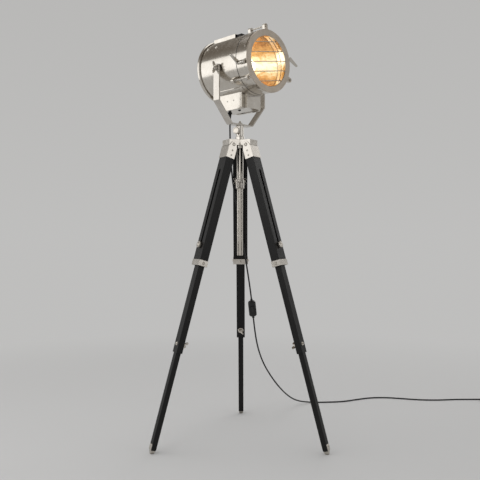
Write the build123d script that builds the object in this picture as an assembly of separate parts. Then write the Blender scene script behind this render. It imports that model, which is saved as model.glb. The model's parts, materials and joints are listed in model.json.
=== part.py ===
from build123d import *
import math
import os

# Tripod spotlight. Lengths are millimetres, angles degrees, +Z is up and the lamp faces -Y.
# Pieces are drawn about the column axis and moved at the end, so that the origin lies on the floor
# under the middle of the footprint.

# Clearances
OVERRUN = 2.0          # how far a cutting tool passes the faces that it cuts
RUNNING = 0.05         # radial play of a pin or shaft in its hole
GAP = 0.3              # play between other faces that move past each other

# Tripod layout
HINGE_HEIGHT = 1130.0
HINGE_RADIUS = 43.0
FOOT_RADIUS = 367.0
FIRST_LEG_AZIMUTH = 45.3
LEG_NAMES = ("back", "left", "right")
LEG_SLANT = math.degrees(math.atan2(FOOT_RADIUS - HINGE_RADIUS, HINGE_HEIGHT))
LEG_LENGTH = math.hypot(FOOT_RADIUS - HINGE_RADIUS, HINGE_HEIGHT)

# Lower leg section and shoe; places along a leg are distances below its hinge
SHOE_LIP = 1.2         # how far the shoe stands proud of the wood all round
SHOE_STRAIGHT = 12.0
SHOE_TAPER = 23.5
SHOE_TIP = 10.0
LOWER_WIDTH = 21.0
LOWER_DEPTH = 19.5
LOWER_LENGTH = 404.0
LOWER_END = LEG_LENGTH - SHOE_TAPER - SHOE_STRAIGHT
LOWER_TOP = LOWER_END - LOWER_LENGTH

# Middle leg section: a box that slides in the channel, bored for the lower section
MIDDLE_SIDE_WALL = 6.2
MIDDLE_FACE_WALL = 1.95
MIDDLE_WIDTH = LOWER_WIDTH + 2 * (GAP + MIDDLE_SIDE_WALL)
MIDDLE_DEPTH = LOWER_DEPTH + 2 * (GAP + MIDDLE_FACE_WALL)
MIDDLE_LENGTH = 420.0
LOWER_HELD = 70.0      # length of the lower section inside the middle one
MIDDLE_END = LOWER_TOP + LOWER_HELD
MIDDLE_TOP = MIDDLE_END - MIDDLE_LENGTH
BORE_ROOF = 12.0

# Upper leg section: a channel, open to the inside, with a guide slot in its outer web
WEB = 6.0
CHANNEL_SIDE = 11.2
CHANNEL_LIP = 2.7      # how far the channel's sides pass the middle section
UPPER_WIDTH = MIDDLE_WIDTH + 2 * (GAP + CHANNEL_SIDE)
UPPER_DEPTH = WEB + GAP + MIDDLE_DEPTH + CHANNEL_LIP
MIDDLE_HELD = 91.0     # length of the middle section inside the channel
UPPER_END = MIDDLE_TOP + MIDDLE_HELD
LUG_LOBE_RADIUS = 11.0
LUG_END_PLAY = 3.0
UPPER_TOP = LUG_LOBE_RADIUS + LUG_END_PLAY
CHANNEL_ROOF = 80.0
CHANNEL_TOP = UPPER_TOP + CHANNEL_ROOF
SLOT_WIDTH = 13.0

# Leg fittings
PLATE = 2.0
EAR_RADIUS = 12.5
BRACKET_END = 54.0
BRACKET_PLATE_TOP = 8.0
BRACKET_SCREW_RADIUS = 3.2
BRACKET_SCREW_HEIGHT = 1.6
BRACKET_SCREW_SHARES = (0.45, 0.80)
BAND_HEIGHT = 22.0
BAND_TOP = UPPER_END - BAND_HEIGHT
BAND_WALL = 1.6
BAND_BOLT_RADIUS = 5.0
BAND_BOLT_HEIGHT = 4.5
BAND_SCREW_RADIUS = 4.0
BAND_SCREW_HEIGHT = 5.5
KNOB_BELOW_TOP = 14.0
KNOB_AT = MIDDLE_TOP + KNOB_BELOW_TOP
KNOB_RADIUS = 12.0
KNOB_HEIGHT = 11.0
KNOB_SHANK_RADIUS = 4.0
KNOB_SEAT_DEPTH = 9.0
KNOB_FLUTES = 12
KNOB_FLUTE_RADIUS = 1.5
KNOB_DOME_HEIGHT = 2.5
CLAMP_ABOVE_END = 32.5
CLAMP_AT = MIDDLE_END - CLAMP_ABOVE_END
CLAMP_SHANK_RADIUS = 3.2
CLAMP_HEAD_RADIUS = 7.0
CLAMP_HEAD_HEIGHT = 5.0
CLAMP_HUB_RADIUS = 6.5
CLAMP_HUB_LENGTH = 10.0
CLAMP_WING_SPAN = 32.0
CLAMP_WING_LENGTH = 19.0
CLAMP_WING_ANGLE = 45.0
WING_THICKNESS = 3.5

# Hub, hinge bolts, sleeve and collar
HUB_RADIUS = 30.0
HUB_BELOW_HINGE = 12.0
HUB_ABOVE_HINGE = 20.0
HUB_BOTTOM = HINGE_HEIGHT - HUB_BELOW_HINGE
HUB_TOP = HINGE_HEIGHT + HUB_ABOVE_HINGE
LUG_REACH = 18.0       # hub lug beyond the hinge axis
LUG_DROP = 1.5         # flat underside of the lug below the hinge axis: the open leg stops there
LUG_SIDE_PLAY = 0.15
BOLT_RADIUS = 4.0
BOLT_HEAD_RADIUS = 6.5
BOLT_HEAD_HEIGHT = 3.2
SLEEVE_RADIUS = 12.7
SLEEVE_WALL = 1.4
SLEEVE_LENGTH = 186.0
SLEEVE_BOTTOM = HUB_TOP - SLEEVE_LENGTH
COLLAR_WALL = 3.3
COLLAR_NECK_WALL = 1.9
COLLAR_RADIUS = SLEEVE_RADIUS + COLLAR_WALL
COLLAR_NECK_RADIUS = SLEEVE_RADIUS + COLLAR_NECK_WALL
COLLAR_INSET = 2.0
COLLAR_HEIGHT = 24.0
COLLAR_NECK_HEIGHT = 12.0
COLLAR_BOTTOM = SLEEVE_BOTTOM + COLLAR_INSET
COLLAR_SHOULDER = COLLAR_BOTTOM + COLLAR_HEIGHT
COLLAR_TOP = COLLAR_SHOULDER + COLLAR_NECK_HEIGHT
COLLAR_SLIT = 4.0
COLLAR_SLIT_AZIMUTH = 226.0
COLLAR_EAR_THICKNESS = 5.0
COLLAR_EAR_LENGTH = 11.0
COLLAR_EAR_REACH = COLLAR_RADIUS + COLLAR_EAR_LENGTH
COLLAR_EAR_RADIUS = 8.0
COLLAR_SCREW_RADIUS = 3.0
COLLAR_SCREW_HEAD_RADIUS = 5.0
COLLAR_SCREW_HEAD = 3.0
COLLAR_WING_AZIMUTHS = (346.0, 106.0)
COLLAR_WING_HEIGHT = COLLAR_TOP - COLLAR_NECK_HEIGHT / 2
COLLAR_WING_SHANK_RADIUS = 2.5
COLLAR_WING_HUB_RADIUS = 5.0
COLLAR_WING_HUB_LENGTH = 6.0
COLLAR_WING_SPAN = 25.0
COLLAR_WING_LENGTH = 13.0

# Column, stem, pan bolt and pan knob
TUBE_RADIUS = SLEEVE_RADIUS - SLEEVE_WALL - RUNNING
TUBE_WALL = 1.5
TUBE_ABOVE_HUB = 20.0
TUBE_LENGTH = 462.0
TUBE_TOP = HUB_TOP + TUBE_ABOVE_HUB
TUBE_BOTTOM = TUBE_TOP - TUBE_LENGTH
TUBE_END = 4.0
STEM_HEIGHT = 60.0
YOKE_BASE_HEIGHT = HUB_TOP + STEM_HEIGHT
STEM_FOOT_RADIUS = 17.0
STEM_FOOT_HEIGHT = 16.0
STEM_RADIUS = 14.5
STEM_WEB = 3.0
PAN_SHANK_RADIUS = 7.0
PAN_WASHER_RADIUS = 12.0
PAN_WASHER = 2.0
PAN_NUT_RADIUS = 8.5
PAN_NUT = 5.0
PAN_STUD_RADIUS = 4.0
PAN_STUD = 6.0
PAN_KNOB_AZIMUTH = 195.0
PAN_KNOB_DROP = 24.0
PAN_KNOB_HEIGHT = YOKE_BASE_HEIGHT - PAN_KNOB_DROP
PAN_KNOB_SHANK_RADIUS = 4.0
PAN_KNOB_BOSS_RADIUS = 7.0
PAN_KNOB_BOSS = 9.0
PAN_KNOB_RADIUS = 13.5
PAN_KNOB_LENGTH = 9.0

# Yoke and the head above it: the head is drawn along its own axis, front towards local +Z, up along local +Y
SHELL_RADIUS = 114.5
SHELL_WALL = 1.5
SADDLE = 2.0
BOX_DROP = 48.5        # height of the power box below its saddle
BOX_BOTTOM = -(SHELL_RADIUS + SADDLE + BOX_DROP)
YOKE_THICKNESS = 4.5
YOKE_WIDTH = 31.0
YOKE_STANDOFF = 6.5
YOKE_HALF_SPAN = SHELL_RADIUS + YOKE_STANDOFF
YOKE_HALF_BASE = 54.0
YOKE_BEND_RISE = 80.0
YOKE_BEND_HEIGHT = YOKE_BASE_HEIGHT + YOKE_BEND_RISE
YOKE_BEND_RADIUS = 9.0
PAN_TOP = YOKE_BASE_HEIGHT + YOKE_THICKNESS / 2 + PAN_WASHER + PAN_NUT + PAN_STUD
BOX_CLEARANCE = 37.75  # room between the pan bolt and the power box
HEAD_HEIGHT = PAN_TOP + BOX_CLEARANCE - BOX_BOTTOM
TILT_DROP = 18.0       # tilt axis below the head axis
TILT_HEIGHT = HEAD_HEIGHT - TILT_DROP

# Drum, hood, bezel and what they hold
DRUM_REAR = -106.0
DRUM_FRONT = 96.5
SEAM = 1.0
HOOD_SPIGOT = 12.0
SPIGOT_PLAY = 0.1
SPIGOT_WALL = 1.4
HOOD_REAR = DRUM_FRONT + SEAM
HOOD_LENGTH = 43.5
BEZEL_REAR = HOOD_REAR + HOOD_LENGTH
BEZEL_DEPTH = 13.5
BEZEL_FRONT = BEZEL_REAR + BEZEL_DEPTH
BEZEL_LIP = 1.1
BEZEL_RADIUS = SHELL_RADIUS + BEZEL_LIP
BEZEL_FACE = 24.0
BEZEL_OPENING = BEZEL_RADIUS - BEZEL_FACE
BEZEL_EDGE = 1.5
GLASS_THICKNESS = 3.0
GLASS_PLAY = 1.0
GRILLE_PITCH = 35.5
GRILLE_RADIUS = 1.6
GRILLE_ANGLE = 10.2
GRILLE_SIDE_BARS = int(BEZEL_OPENING / GRILLE_PITCH - 1 / 2)
REFLECTOR_FLANGE = 6.2
REFLECTOR_SET = 7.5    # reflector rim behind the hood's rear edge
REFLECTOR_VERTEX = -5.0
REFLECTOR_HOLE_RADIUS = 18.0
REFLECTOR_WALL = 1.2
BULB_CAP_RADIUS = 13.2
BULB_NECK = 18.0
BULB_NECK_RADIUS = 15.5
BULB_RADIUS = 30.0
HOLDER_WALL = 2.75
HOLDER_RADIUS = BULB_CAP_RADIUS + RUNNING + HOLDER_WALL
HOLDER_LENGTH = 50.0
HOLDER_FLANGE_WIDTH = 8.0
HOLDER_FLANGE = 3.0
HOLDER_BORE_DEPTH = 36.0
CAP_OVERHANG = 6.5
CAP_RADIUS = SHELL_RADIUS + CAP_OVERHANG
CAP_OVERLAP = 5.0
CAP_SKIRT = 12.0
CAP_RISE = 11.0
CAP_SKIRT_FRONT = DRUM_REAR + CAP_OVERLAP
CAP_SKIRT_REAR = CAP_SKIRT_FRONT - CAP_SKIRT
CAP_APEX = CAP_SKIRT_REAR - CAP_RISE
CAP_WALL = 2.0
CAP_EDGE = 2.5
VENT_HALF_WIDTH = 45.0
VENT_RISE = 5.0
VENT_TOP = SHELL_RADIUS + VENT_RISE
VENT_CAP_GAP = 2.0
VENT_LENGTH = 119.0
VENT_REAR = CAP_SKIRT_FRONT + VENT_CAP_GAP
VENT_FRONT = VENT_REAR + VENT_LENGTH
VENT_WALL = 1.5
BAFFLE_INSET = 7.0
BAFFLE_DROP = 2.5
BAFFLE_LENGTH = 27.0
BAFFLE_SLOTS = 4
BAFFLE_SLOT = 2.5
BAFFLE_SLOT_DEPTH = 2.0

# Tie lugs, tie rods and clamp levers
TIE_COUNT = 3
TIE_FIRST_ANGLE = 96.5
TIE_ANGLES = [TIE_FIRST_ANGLE + number * 360 / TIE_COUNT for number in range(TIE_COUNT)]
TIE_STANDOFF = 13.5
TIE_RADIUS = SHELL_RADIUS + TIE_STANDOFF
TIE_ROD_RADIUS = 2.6
TIE_LUG_EDGE = 8.0     # lug beyond the rod's axis
TIE_LUG_TOP = TIE_RADIUS + TIE_LUG_EDGE
TIE_LUG_WIDTH = 16.0
TIE_LUG_CORNER = 6.0
TIE_LUG_SETBACK = 30.5
TIE_LUG_REAR = DRUM_FRONT - TIE_LUG_SETBACK
TIE_LUG_LENGTH = 13.0
TIE_NUT_RADIUS = 4.6
TIE_NUT = 4.0
LEVER_STANDOFF = 9.5
LEVER_RADIUS = SHELL_RADIUS + LEVER_STANDOFF
LEFT_LEVER_ANGLE = 190.0
RIGHT_LEVER_ANGLE = 14.0
LEFT_ARM_ANGLE = 150.0
RIGHT_ARM_ANGLE = -28.0
LEVER_ANGLES = {"left": LEFT_LEVER_ANGLE, "right": RIGHT_LEVER_ANGLE}
ARM_ANGLES = {"left": LEFT_ARM_ANGLE, "right": RIGHT_ARM_ANGLE}
KNUCKLE_LENGTH = 13.0
KNUCKLE_INSET = 1.0
KNUCKLE_FRONT = BEZEL_REAR - KNUCKLE_INSET
KNUCKLE_REAR = KNUCKLE_FRONT - KNUCKLE_LENGTH
KNUCKLE_RADIUS = 7.0
KNUCKLE_WEB = 10.0
LEVER_PIN_RADIUS = 4.0
LEVER_COLLAR_RADIUS = 6.3
LEVER_COLLAR = 6.0
LEVER_ARM_LENGTH = 43.0
LEVER_ARM_THICKNESS = 6.0
LEVER_ROOT_RADIUS = 6.8
LEVER_TIP_RADIUS = 3.2

# Power box under the drum
SADDLE_HALF_WIDTH = 68.0
SADDLE_MARGIN = 3.0
BOX_HALF_WIDTH = 36.0
BOX_HALF_LENGTH = 75.0
SADDLE_HALF_LENGTH = BOX_HALF_LENGTH + SADDLE_MARGIN
BOX_WALL = 1.5
COVER_DEPTH = 14.0
COVER_INSET = 15.0
COVER_HALF_LENGTH = BOX_HALF_LENGTH - COVER_INSET
COVER_LIP = 2.0
COVER_WALL = 1.5
COVER_CORNER = 6.0
COVER_SCREWS = 4
COVER_SCREW_INSET = 7.5
COVER_SCREW_PITCH = 2 * (COVER_HALF_LENGTH - COVER_SCREW_INSET) / (COVER_SCREWS - 1)
COVER_SCREW_RISE = 33.0
COVER_SCREW_LEVEL = BOX_BOTTOM + COVER_SCREW_RISE
COVER_SCREW_RADIUS = 2.6
COVER_SCREW_HEIGHT = 1.6
SADDLE_SCREW_INSET = 6.0
SADDLE_SCREW_SIDE = SADDLE_HALF_WIDTH - SADDLE_SCREW_INSET
SADDLE_SCREW_END = 21.0
SADDLE_SCREW_PITCH = SADDLE_HALF_LENGTH - SADDLE_SCREW_END
SADDLE_SCREW_RADIUS = 3.5
SADDLE_SCREW_HEIGHT = 2.2
DRUM_SCREW_ANGLES = (142.0, 38.0)
DRUM_SCREW_START = 21.0
DRUM_SCREW_PITCH = 49.0
DRUM_SCREW_PLACES = [DRUM_REAR + DRUM_SCREW_START + step * DRUM_SCREW_PITCH for step in (0, 1)]
DRUM_SCREW_RADIUS = 5.5
DRUM_SCREW_HEIGHT = 4.0
HOOD_SCREW_ANGLES = (161.0, 199.0, 19.0, 341.0)
HOOD_SCREW_INSET = 4.0
HOOD_SCREW_PLACE = BEZEL_REAR - HOOD_SCREW_INSET
HOOD_SCREW_RADIUS = 2.6
HOOD_SCREW_HEIGHT = 1.6

# Trunnions and tilt wing nuts
TRUNNION_RADIUS = 5.0
TRUNNION_REACH = 20.0
TRUNNION_END = YOKE_HALF_SPAN + TRUNNION_REACH
TRUNNION_NUT_RADIUS = 9.0
TRUNNION_NUT = 6.0
TRUNNION_NUT_PLAY = 2.0
TRUNNION_SPACER_RADIUS = 11.0
TILT_HUB_RADIUS = 9.0
TILT_HUB_LENGTH = 13.0
TILT_WING_SPAN = 44.0
TILT_WING_LENGTH = 19.0

# Cord, gland, switch and plug
CORD_RADIUS = 3.1
CORD_REST = 3.3        # height of the cord's centre line where it lies on the floor
BEND_SHARE = 0.45      # share of the shorter run that an arc takes at each corner
GLAND_INSET = 18.0
GLAND_PLACE = BOX_HALF_LENGTH - GLAND_INSET
GLAND_FLANGE_RADIUS = 9.0
GLAND_FLANGE = 3.0
GLAND_ROOT_RADIUS = 6.5
GLAND_TIP_RADIUS = 4.0
GLAND_LENGTH = 20.0
PLUG_HOLE_X = -22.0
PLUG_HOLE_Y = -20.0
PLUG_HOLE_RADIUS = 6.0
PLUG_HOLE_HEIGHT = 5.0
SWITCH_TOP = (137.6, 75.7, 525.0)
SWITCH_BOTTOM = (154.1, 80.6, 446.0)
SWITCH_FACE_AZIMUTH = 226.0
SWITCH_WIDTH = 31.0
SWITCH_HALF_DEPTH = 11.0
SWITCH_EDGE = 4.0
SWITCH_NECK_RADIUS = 5.0
SWITCH_NECK = 8.0
ROCKER_LENGTH = 25.0
ROCKER_WIDTH = 11.5
ROCKER_DEPTH = 6.0
ROCKER_PLAY = 0.4
ROCKER_ON = 6.0
ROCKER_PROUD = 1.6
ROCKER_AXLE_RADIUS = 1.2
ROCKER_AXLE_REACH = 2.0
COIL_RADIUS = 39.0
COIL_PITCH = 6.8
COIL_LAYER = 6.8
COIL_LAYER_TURNS = 1.25
COIL_CLIMB_TURNS = 0.5
COIL_TAIL = 36.0       # straight cord between the coil and the plug
PLUG_RELIEF = 14.0
PLUG_LENGTH = 34.0
PLUG_WIDTH = 34.0
PLUG_HEIGHT = 19.6
PLUG_EDGE = 5.0
PIN_RADIUS = 2.0
PIN_LENGTH = 19.0
PIN_PITCH = 19.0

# Cord route about the column axis: the hanging stretch, then the stretch from the switch to the coil
HANG_ROUTE = [
    (0.0, GLAND_PLACE, HEAD_HEIGHT + BOX_BOTTOM - GLAND_LENGTH - GLAND_FLANGE),
    (0.0, GLAND_PLACE, 1060.0),
    (125.225, 72.025, 584.25),
    SWITCH_TOP,
]
FLOOR_ROUTE = [
    SWITCH_BOTTOM,
    (168.62, 84.912, 376.48),
    (196.0, 92.0, 304.0),
    (240.0, 103.0, 238.0),
    (294.0, 114.0, 180.0),
    (352.0, 127.0, 128.0),
    (414.0, 143.0, 83.0),
    (478.0, 160.0, 45.0),
    (544.0, 172.0, 17.0),
    (608.0, 156.0, CORD_REST),
    (662.0, 107.0, CORD_REST),
    (728.0, 58.0, CORD_REST),
    (806.0, 38.0, CORD_REST),
    (884.0, 12.0, CORD_REST),
    (943.0, -40.0, CORD_REST),
    (981.0, -109.0, CORD_REST),
    (1020.0, -178.0, CORD_REST),
    (1074.0, -236.0, CORD_REST),
    (1137.0, -279.0, CORD_REST),
    (1196.0, -333.0, CORD_REST),
    (1253.0, -388.0, CORD_REST),
]


# Small shapes used by several pieces
def block(x0, x1, y0, y1, z0, z1):
    size = (x1 - x0, y1 - y0, z1 - z0)
    return Pos((x0 + x1) / 2, (y0 + y1) / 2, (z0 + z1) / 2) * Box(*size)


def rod(start, end, radius):
    run = Vector(*end) - Vector(*start)
    seat = Plane(origin=start, z_dir=run)
    return seat * Cylinder(radius, run.length, align=(Align.CENTER, Align.CENTER, Align.MIN))


def ring(z0, z1, outer, inner):
    height = z1 - z0
    wall = Cylinder(outer, height) - Cylinder(inner, height + OVERRUN)
    return Pos(0, 0, (z0 + z1) / 2) * wall


def slab_xz(sketch, y0, y1):
    return Pos(0, y1, 0) * extrude(Plane.XZ * sketch, y1 - y0)


def dome(radius, height):
    ball = (radius ** 2 + height ** 2) / (2 * height)
    cap = block(-radius, radius, -radius, radius, 0, height)
    return cap & (Pos(0, 0, height - ball) * Sphere(ball))


def round_hull(x0, y0, r0, x1, y1, r1):
    first = (Pos(x0, y0) * Circle(r0)).edges()
    second = (Pos(x1, y1) * Circle(r1)).edges()
    return make_hull(first + second)


def wing_piece(hub_radius, hub_length, span, length):
    """A hub along +Z from z = 0 with two raised wings in the XZ plane."""
    tip = (length - hub_length) / 2 + hub_radius / 4
    body = Cylinder(hub_radius, hub_length, align=(Align.CENTER, Align.CENTER, Align.MIN))
    for side in (-1, 1):
        root = (side * hub_radius / 2, hub_length / 2, hub_length / 2 - GAP)
        end = (side * (span / 2 - tip), length - tip, tip)
        body += slab_xz(round_hull(*root, *end), -WING_THICKNESS / 2, WING_THICKNESS / 2)
    return body


def fluted_knob(radius, height, flutes, flute_radius):
    knob = Cylinder(radius, height, align=(Align.CENTER, Align.CENTER, Align.MIN))
    for number in range(flutes):
        place = Rot(0, 0, number * 360 / flutes) * Pos(radius, 0, height / 2)
        knob -= place * Cylinder(flute_radius, height + OVERRUN)
    return knob


def around_z(angle, shape):
    return Rot(0, 0, angle) * shape


def group(*shapes):
    return Compound(children=[solid for shape in shapes for solid in shape.solids()])


# Tripod hub, hinge bolts, sleeve and collar
EAR_OUT = UPPER_WIDTH / 2 + PLATE
LUG_HALF = UPPER_WIDTH / 2 - LUG_SIDE_PLAY


def leg_azimuth(number):
    return FIRST_LEG_AZIMUTH + number * 360 / len(LEG_NAMES)


def leg_place(number):
    """Leg frame: hinge at the origin, leg along -Z, outside of the tripod towards +X."""
    hinge = Pos(HINGE_RADIUS, 0, HINGE_HEIGHT) * Rot(0, -LEG_SLANT, 0)
    return Rot(0, 0, leg_azimuth(number)) * hinge


def make_hub():
    hub = Pos(0, 0, (HUB_BOTTOM + HUB_TOP) / 2) * Cylinder(HUB_RADIUS, HUB_TOP - HUB_BOTTOM)
    lug = block(0, HINGE_RADIUS + LUG_REACH, -LUG_HALF, LUG_HALF, HINGE_HEIGHT - LUG_DROP, HUB_TOP)
    axis_ends = ((HINGE_RADIUS, -LUG_HALF, HINGE_HEIGHT), (HINGE_RADIUS, LUG_HALF, HINGE_HEIGHT))
    lug += rod(*axis_ends, LUG_LOBE_RADIUS)
    hole_ends = [(x, math.copysign(EAR_OUT, y), z) for x, y, z in axis_ends]
    hole = rod(*hole_ends, BOLT_RADIUS + RUNNING)
    for number in range(len(LEG_NAMES)):
        hub += around_z(leg_azimuth(number), lug)
    for number in range(len(LEG_NAMES)):
        hub -= around_z(leg_azimuth(number), hole)
    bore = Cylinder(SLEEVE_RADIUS + RUNNING, HUB_TOP - HUB_BOTTOM + OVERRUN)
    return hub - Pos(0, 0, (HUB_BOTTOM + HUB_TOP) / 2) * bore


def make_hinge_bolts():
    out = EAR_OUT + LUG_SIDE_PLAY
    bolt = rod((HINGE_RADIUS, -out, HINGE_HEIGHT), (HINGE_RADIUS, out, HINGE_HEIGHT), BOLT_RADIUS)
    for side in (-1, 1):
        head = Rot(-side * 90, 0, 0) * dome(BOLT_HEAD_RADIUS, BOLT_HEAD_HEIGHT)
        bolt += Pos(HINGE_RADIUS, side * out, HINGE_HEIGHT) * head
    return group(*[around_z(leg_azimuth(number), bolt) for number in range(len(LEG_NAMES))])


def make_sleeve():
    return ring(SLEEVE_BOTTOM, HUB_TOP, SLEEVE_RADIUS, SLEEVE_RADIUS - SLEEVE_WALL)


def collar_wing_axis(azimuth):
    """Frame of a collar wing screw: +Z points out along the screw."""
    return Rot(0, 0, azimuth) * Pos(COLLAR_NECK_RADIUS, 0, COLLAR_WING_HEIGHT) * Rot(0, 90, 0)


def make_collar():
    collar = ring(COLLAR_BOTTOM, COLLAR_SHOULDER, COLLAR_RADIUS, SLEEVE_RADIUS + RUNNING)
    collar += ring(COLLAR_SHOULDER, COLLAR_TOP, COLLAR_NECK_RADIUS, SLEEVE_RADIUS + RUNNING)
    middle = (COLLAR_BOTTOM + COLLAR_SHOULDER) / 2
    half_height = (COLLAR_SHOULDER - COLLAR_BOTTOM) / 2
    ear_end = COLLAR_EAR_REACH - COLLAR_EAR_RADIUS
    outer = COLLAR_SLIT / 2 + COLLAR_EAR_THICKNESS
    ear = block(SLEEVE_RADIUS + SLEEVE_WALL, ear_end, -outer, outer, COLLAR_BOTTOM, COLLAR_SHOULDER)
    tip = Pos(ear_end, 0, middle) * Rot(90, 0, 0) * Cylinder(half_height, 2 * outer)
    ears = ear + (tip & block(0, COLLAR_EAR_REACH, -outer, outer, COLLAR_BOTTOM, COLLAR_SHOULDER))
    slit = block(0, COLLAR_EAR_REACH + OVERRUN, -COLLAR_SLIT / 2, COLLAR_SLIT / 2,
                 COLLAR_BOTTOM - OVERRUN, COLLAR_TOP + OVERRUN)
    screw_ends = ((ear_end, -outer, middle), (ear_end, outer, middle))
    ears -= rod(*screw_ends, COLLAR_SCREW_RADIUS)
    cut = slit + Pos(0, 0, middle) * Cylinder(SLEEVE_RADIUS + RUNNING, COLLAR_TOP - COLLAR_BOTTOM + OVERRUN)
    collar = (collar + ears) - cut
    collar = around_z(COLLAR_SLIT_AZIMUTH, collar)
    for azimuth in COLLAR_WING_AZIMUTHS:
        wall = COLLAR_NECK_RADIUS - SLEEVE_RADIUS
        hole = Pos(0, 0, -wall / 2) * Cylinder(COLLAR_WING_SHANK_RADIUS + RUNNING, wall + OVERRUN)
        collar -= collar_wing_axis(azimuth) * hole
    screw = rod(*screw_ends, COLLAR_SCREW_RADIUS)
    for side in (-1, 1):
        head = Rot(-side * 90, 0, 0) * dome(COLLAR_SCREW_HEAD_RADIUS, COLLAR_SCREW_HEAD)
        screw += Pos(ear_end, side * outer, middle) * head
    return group(collar, around_z(COLLAR_SLIT_AZIMUTH, screw))


def make_collar_wing(azimuth):
    wall = COLLAR_NECK_RADIUS - SLEEVE_RADIUS
    piece = wing_piece(COLLAR_WING_HUB_RADIUS, COLLAR_WING_HUB_LENGTH, COLLAR_WING_SPAN, COLLAR_WING_LENGTH)
    piece = Pos(0, 0, GAP) * piece
    piece += rod((0, 0, -wall + RUNNING), (0, 0, GAP + RUNNING), COLLAR_WING_SHANK_RADIUS)
    return collar_wing_axis(azimuth) * piece


# Legs, each drawn in its leg frame
MIDDLE_OUT = UPPER_DEPTH / 2 - WEB - GAP
MIDDLE_IN = MIDDLE_OUT - MIDDLE_DEPTH
MIDDLE_X = (MIDDLE_OUT + MIDDLE_IN) / 2
BORE_HALF_DEPTH = LOWER_DEPTH / 2 + GAP
BORE_HALF_WIDTH = LOWER_WIDTH / 2 + GAP


def on_face(x, y, z, turn, shape):
    return Pos(x, y, z) * turn * shape


def make_fittings():
    half_width, half_depth = UPPER_WIDTH / 2, UPPER_DEPTH / 2
    lower_edge = Pos((PLATE) / 2, -(BRACKET_END + EAR_RADIUS) / 2)
    plate = lower_edge * Rectangle(UPPER_DEPTH + PLATE, BRACKET_END - EAR_RADIUS)
    outline = make_hull(plate.edges() + Circle(EAR_RADIUS).edges())
    bracket = block(half_depth, half_depth + PLATE, -EAR_OUT, EAR_OUT, -BRACKET_END, -BRACKET_PLATE_TOP)
    for side in (-1, 1):
        bracket += slab_xz(outline, *sorted((side * half_width, side * EAR_OUT)))
    bracket -= rod((0, -EAR_OUT - OVERRUN, 0), (0, EAR_OUT + OVERRUN, 0), BOLT_RADIUS + RUNNING)
    band = block(-half_depth - BAND_WALL, half_depth + BAND_WALL, -half_width - BAND_WALL,
                 half_width + BAND_WALL, -UPPER_END, -BAND_TOP)
    band -= block(-half_depth, half_depth, -half_width, half_width, -UPPER_END - OVERRUN, -BAND_TOP + OVERRUN)
    band_middle = -(BAND_TOP + UPPER_END) / 2
    screws = []
    for side in (-1, 1):
        turn = Rot(-side * 90, 0, 0)
        for share in BRACKET_SCREW_SHARES:
            head = dome(BRACKET_SCREW_RADIUS, BRACKET_SCREW_HEIGHT)
            screws.append(on_face(0, side * EAR_OUT, -share * BRACKET_END, turn, head))
        bolt = dome(BAND_BOLT_RADIUS, BAND_BOLT_HEIGHT)
        screws.append(on_face(0, side * (half_width + BAND_WALL), band_middle, turn, bolt))
    centre_screw = dome(BAND_SCREW_RADIUS, BAND_SCREW_HEIGHT)
    screws.append(on_face(-half_depth - BAND_WALL, 0, band_middle, Rot(0, -90, 0), centre_screw))
    return group(bracket, band, *screws)


def make_upper():
    half_width, half_depth = UPPER_WIDTH / 2, UPPER_DEPTH / 2
    wood = block(-half_depth, half_depth, -half_width, half_width, -UPPER_END, -UPPER_TOP)
    channel_half = MIDDLE_WIDTH / 2 + GAP
    wood -= block(-half_depth - OVERRUN, half_depth - WEB, -channel_half, channel_half,
                  -UPPER_END - OVERRUN, -CHANNEL_TOP)
    slot_low, slot_high = -KNOB_AT, -CHANNEL_TOP - SLOT_WIDTH
    web_middle = half_depth - WEB / 2
    slot = block(half_depth - WEB - OVERRUN, half_depth + OVERRUN, -SLOT_WIDTH / 2, SLOT_WIDTH / 2,
                 slot_low, slot_high)
    for end in (slot_low, slot_high):
        slot += Pos(web_middle, 0, end) * Rot(0, 90, 0) * Cylinder(SLOT_WIDTH / 2, WEB + 2 * OVERRUN)
    return wood - slot


def make_middle():
    wood = block(MIDDLE_IN, MIDDLE_OUT, -MIDDLE_WIDTH / 2, MIDDLE_WIDTH / 2, -MIDDLE_END, -MIDDLE_TOP)
    wood -= block(MIDDLE_X - BORE_HALF_DEPTH, MIDDLE_X + BORE_HALF_DEPTH, -BORE_HALF_WIDTH, BORE_HALF_WIDTH,
                  -MIDDLE_END - OVERRUN, -MIDDLE_TOP - BORE_ROOF - 2 * KNOB_SHANK_RADIUS - KNOB_SEAT_DEPTH)
    clamp_ends = ((MIDDLE_IN - OVERRUN, 0, -CLAMP_AT), (MIDDLE_OUT + OVERRUN, 0, -CLAMP_AT))
    wood -= rod(*clamp_ends, CLAMP_SHANK_RADIUS + RUNNING)
    seat_ends = ((MIDDLE_OUT - KNOB_SEAT_DEPTH - GAP, 0, -KNOB_AT), (MIDDLE_OUT + OVERRUN, 0, -KNOB_AT))
    return wood - rod(*seat_ends, KNOB_SHANK_RADIUS + RUNNING)


def make_lower():
    half_depth, half_width = LOWER_DEPTH / 2, LOWER_WIDTH / 2
    return block(MIDDLE_X - half_depth, MIDDLE_X + half_depth, -half_width, half_width,
                 -LOWER_END, -LOWER_TOP)


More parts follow.
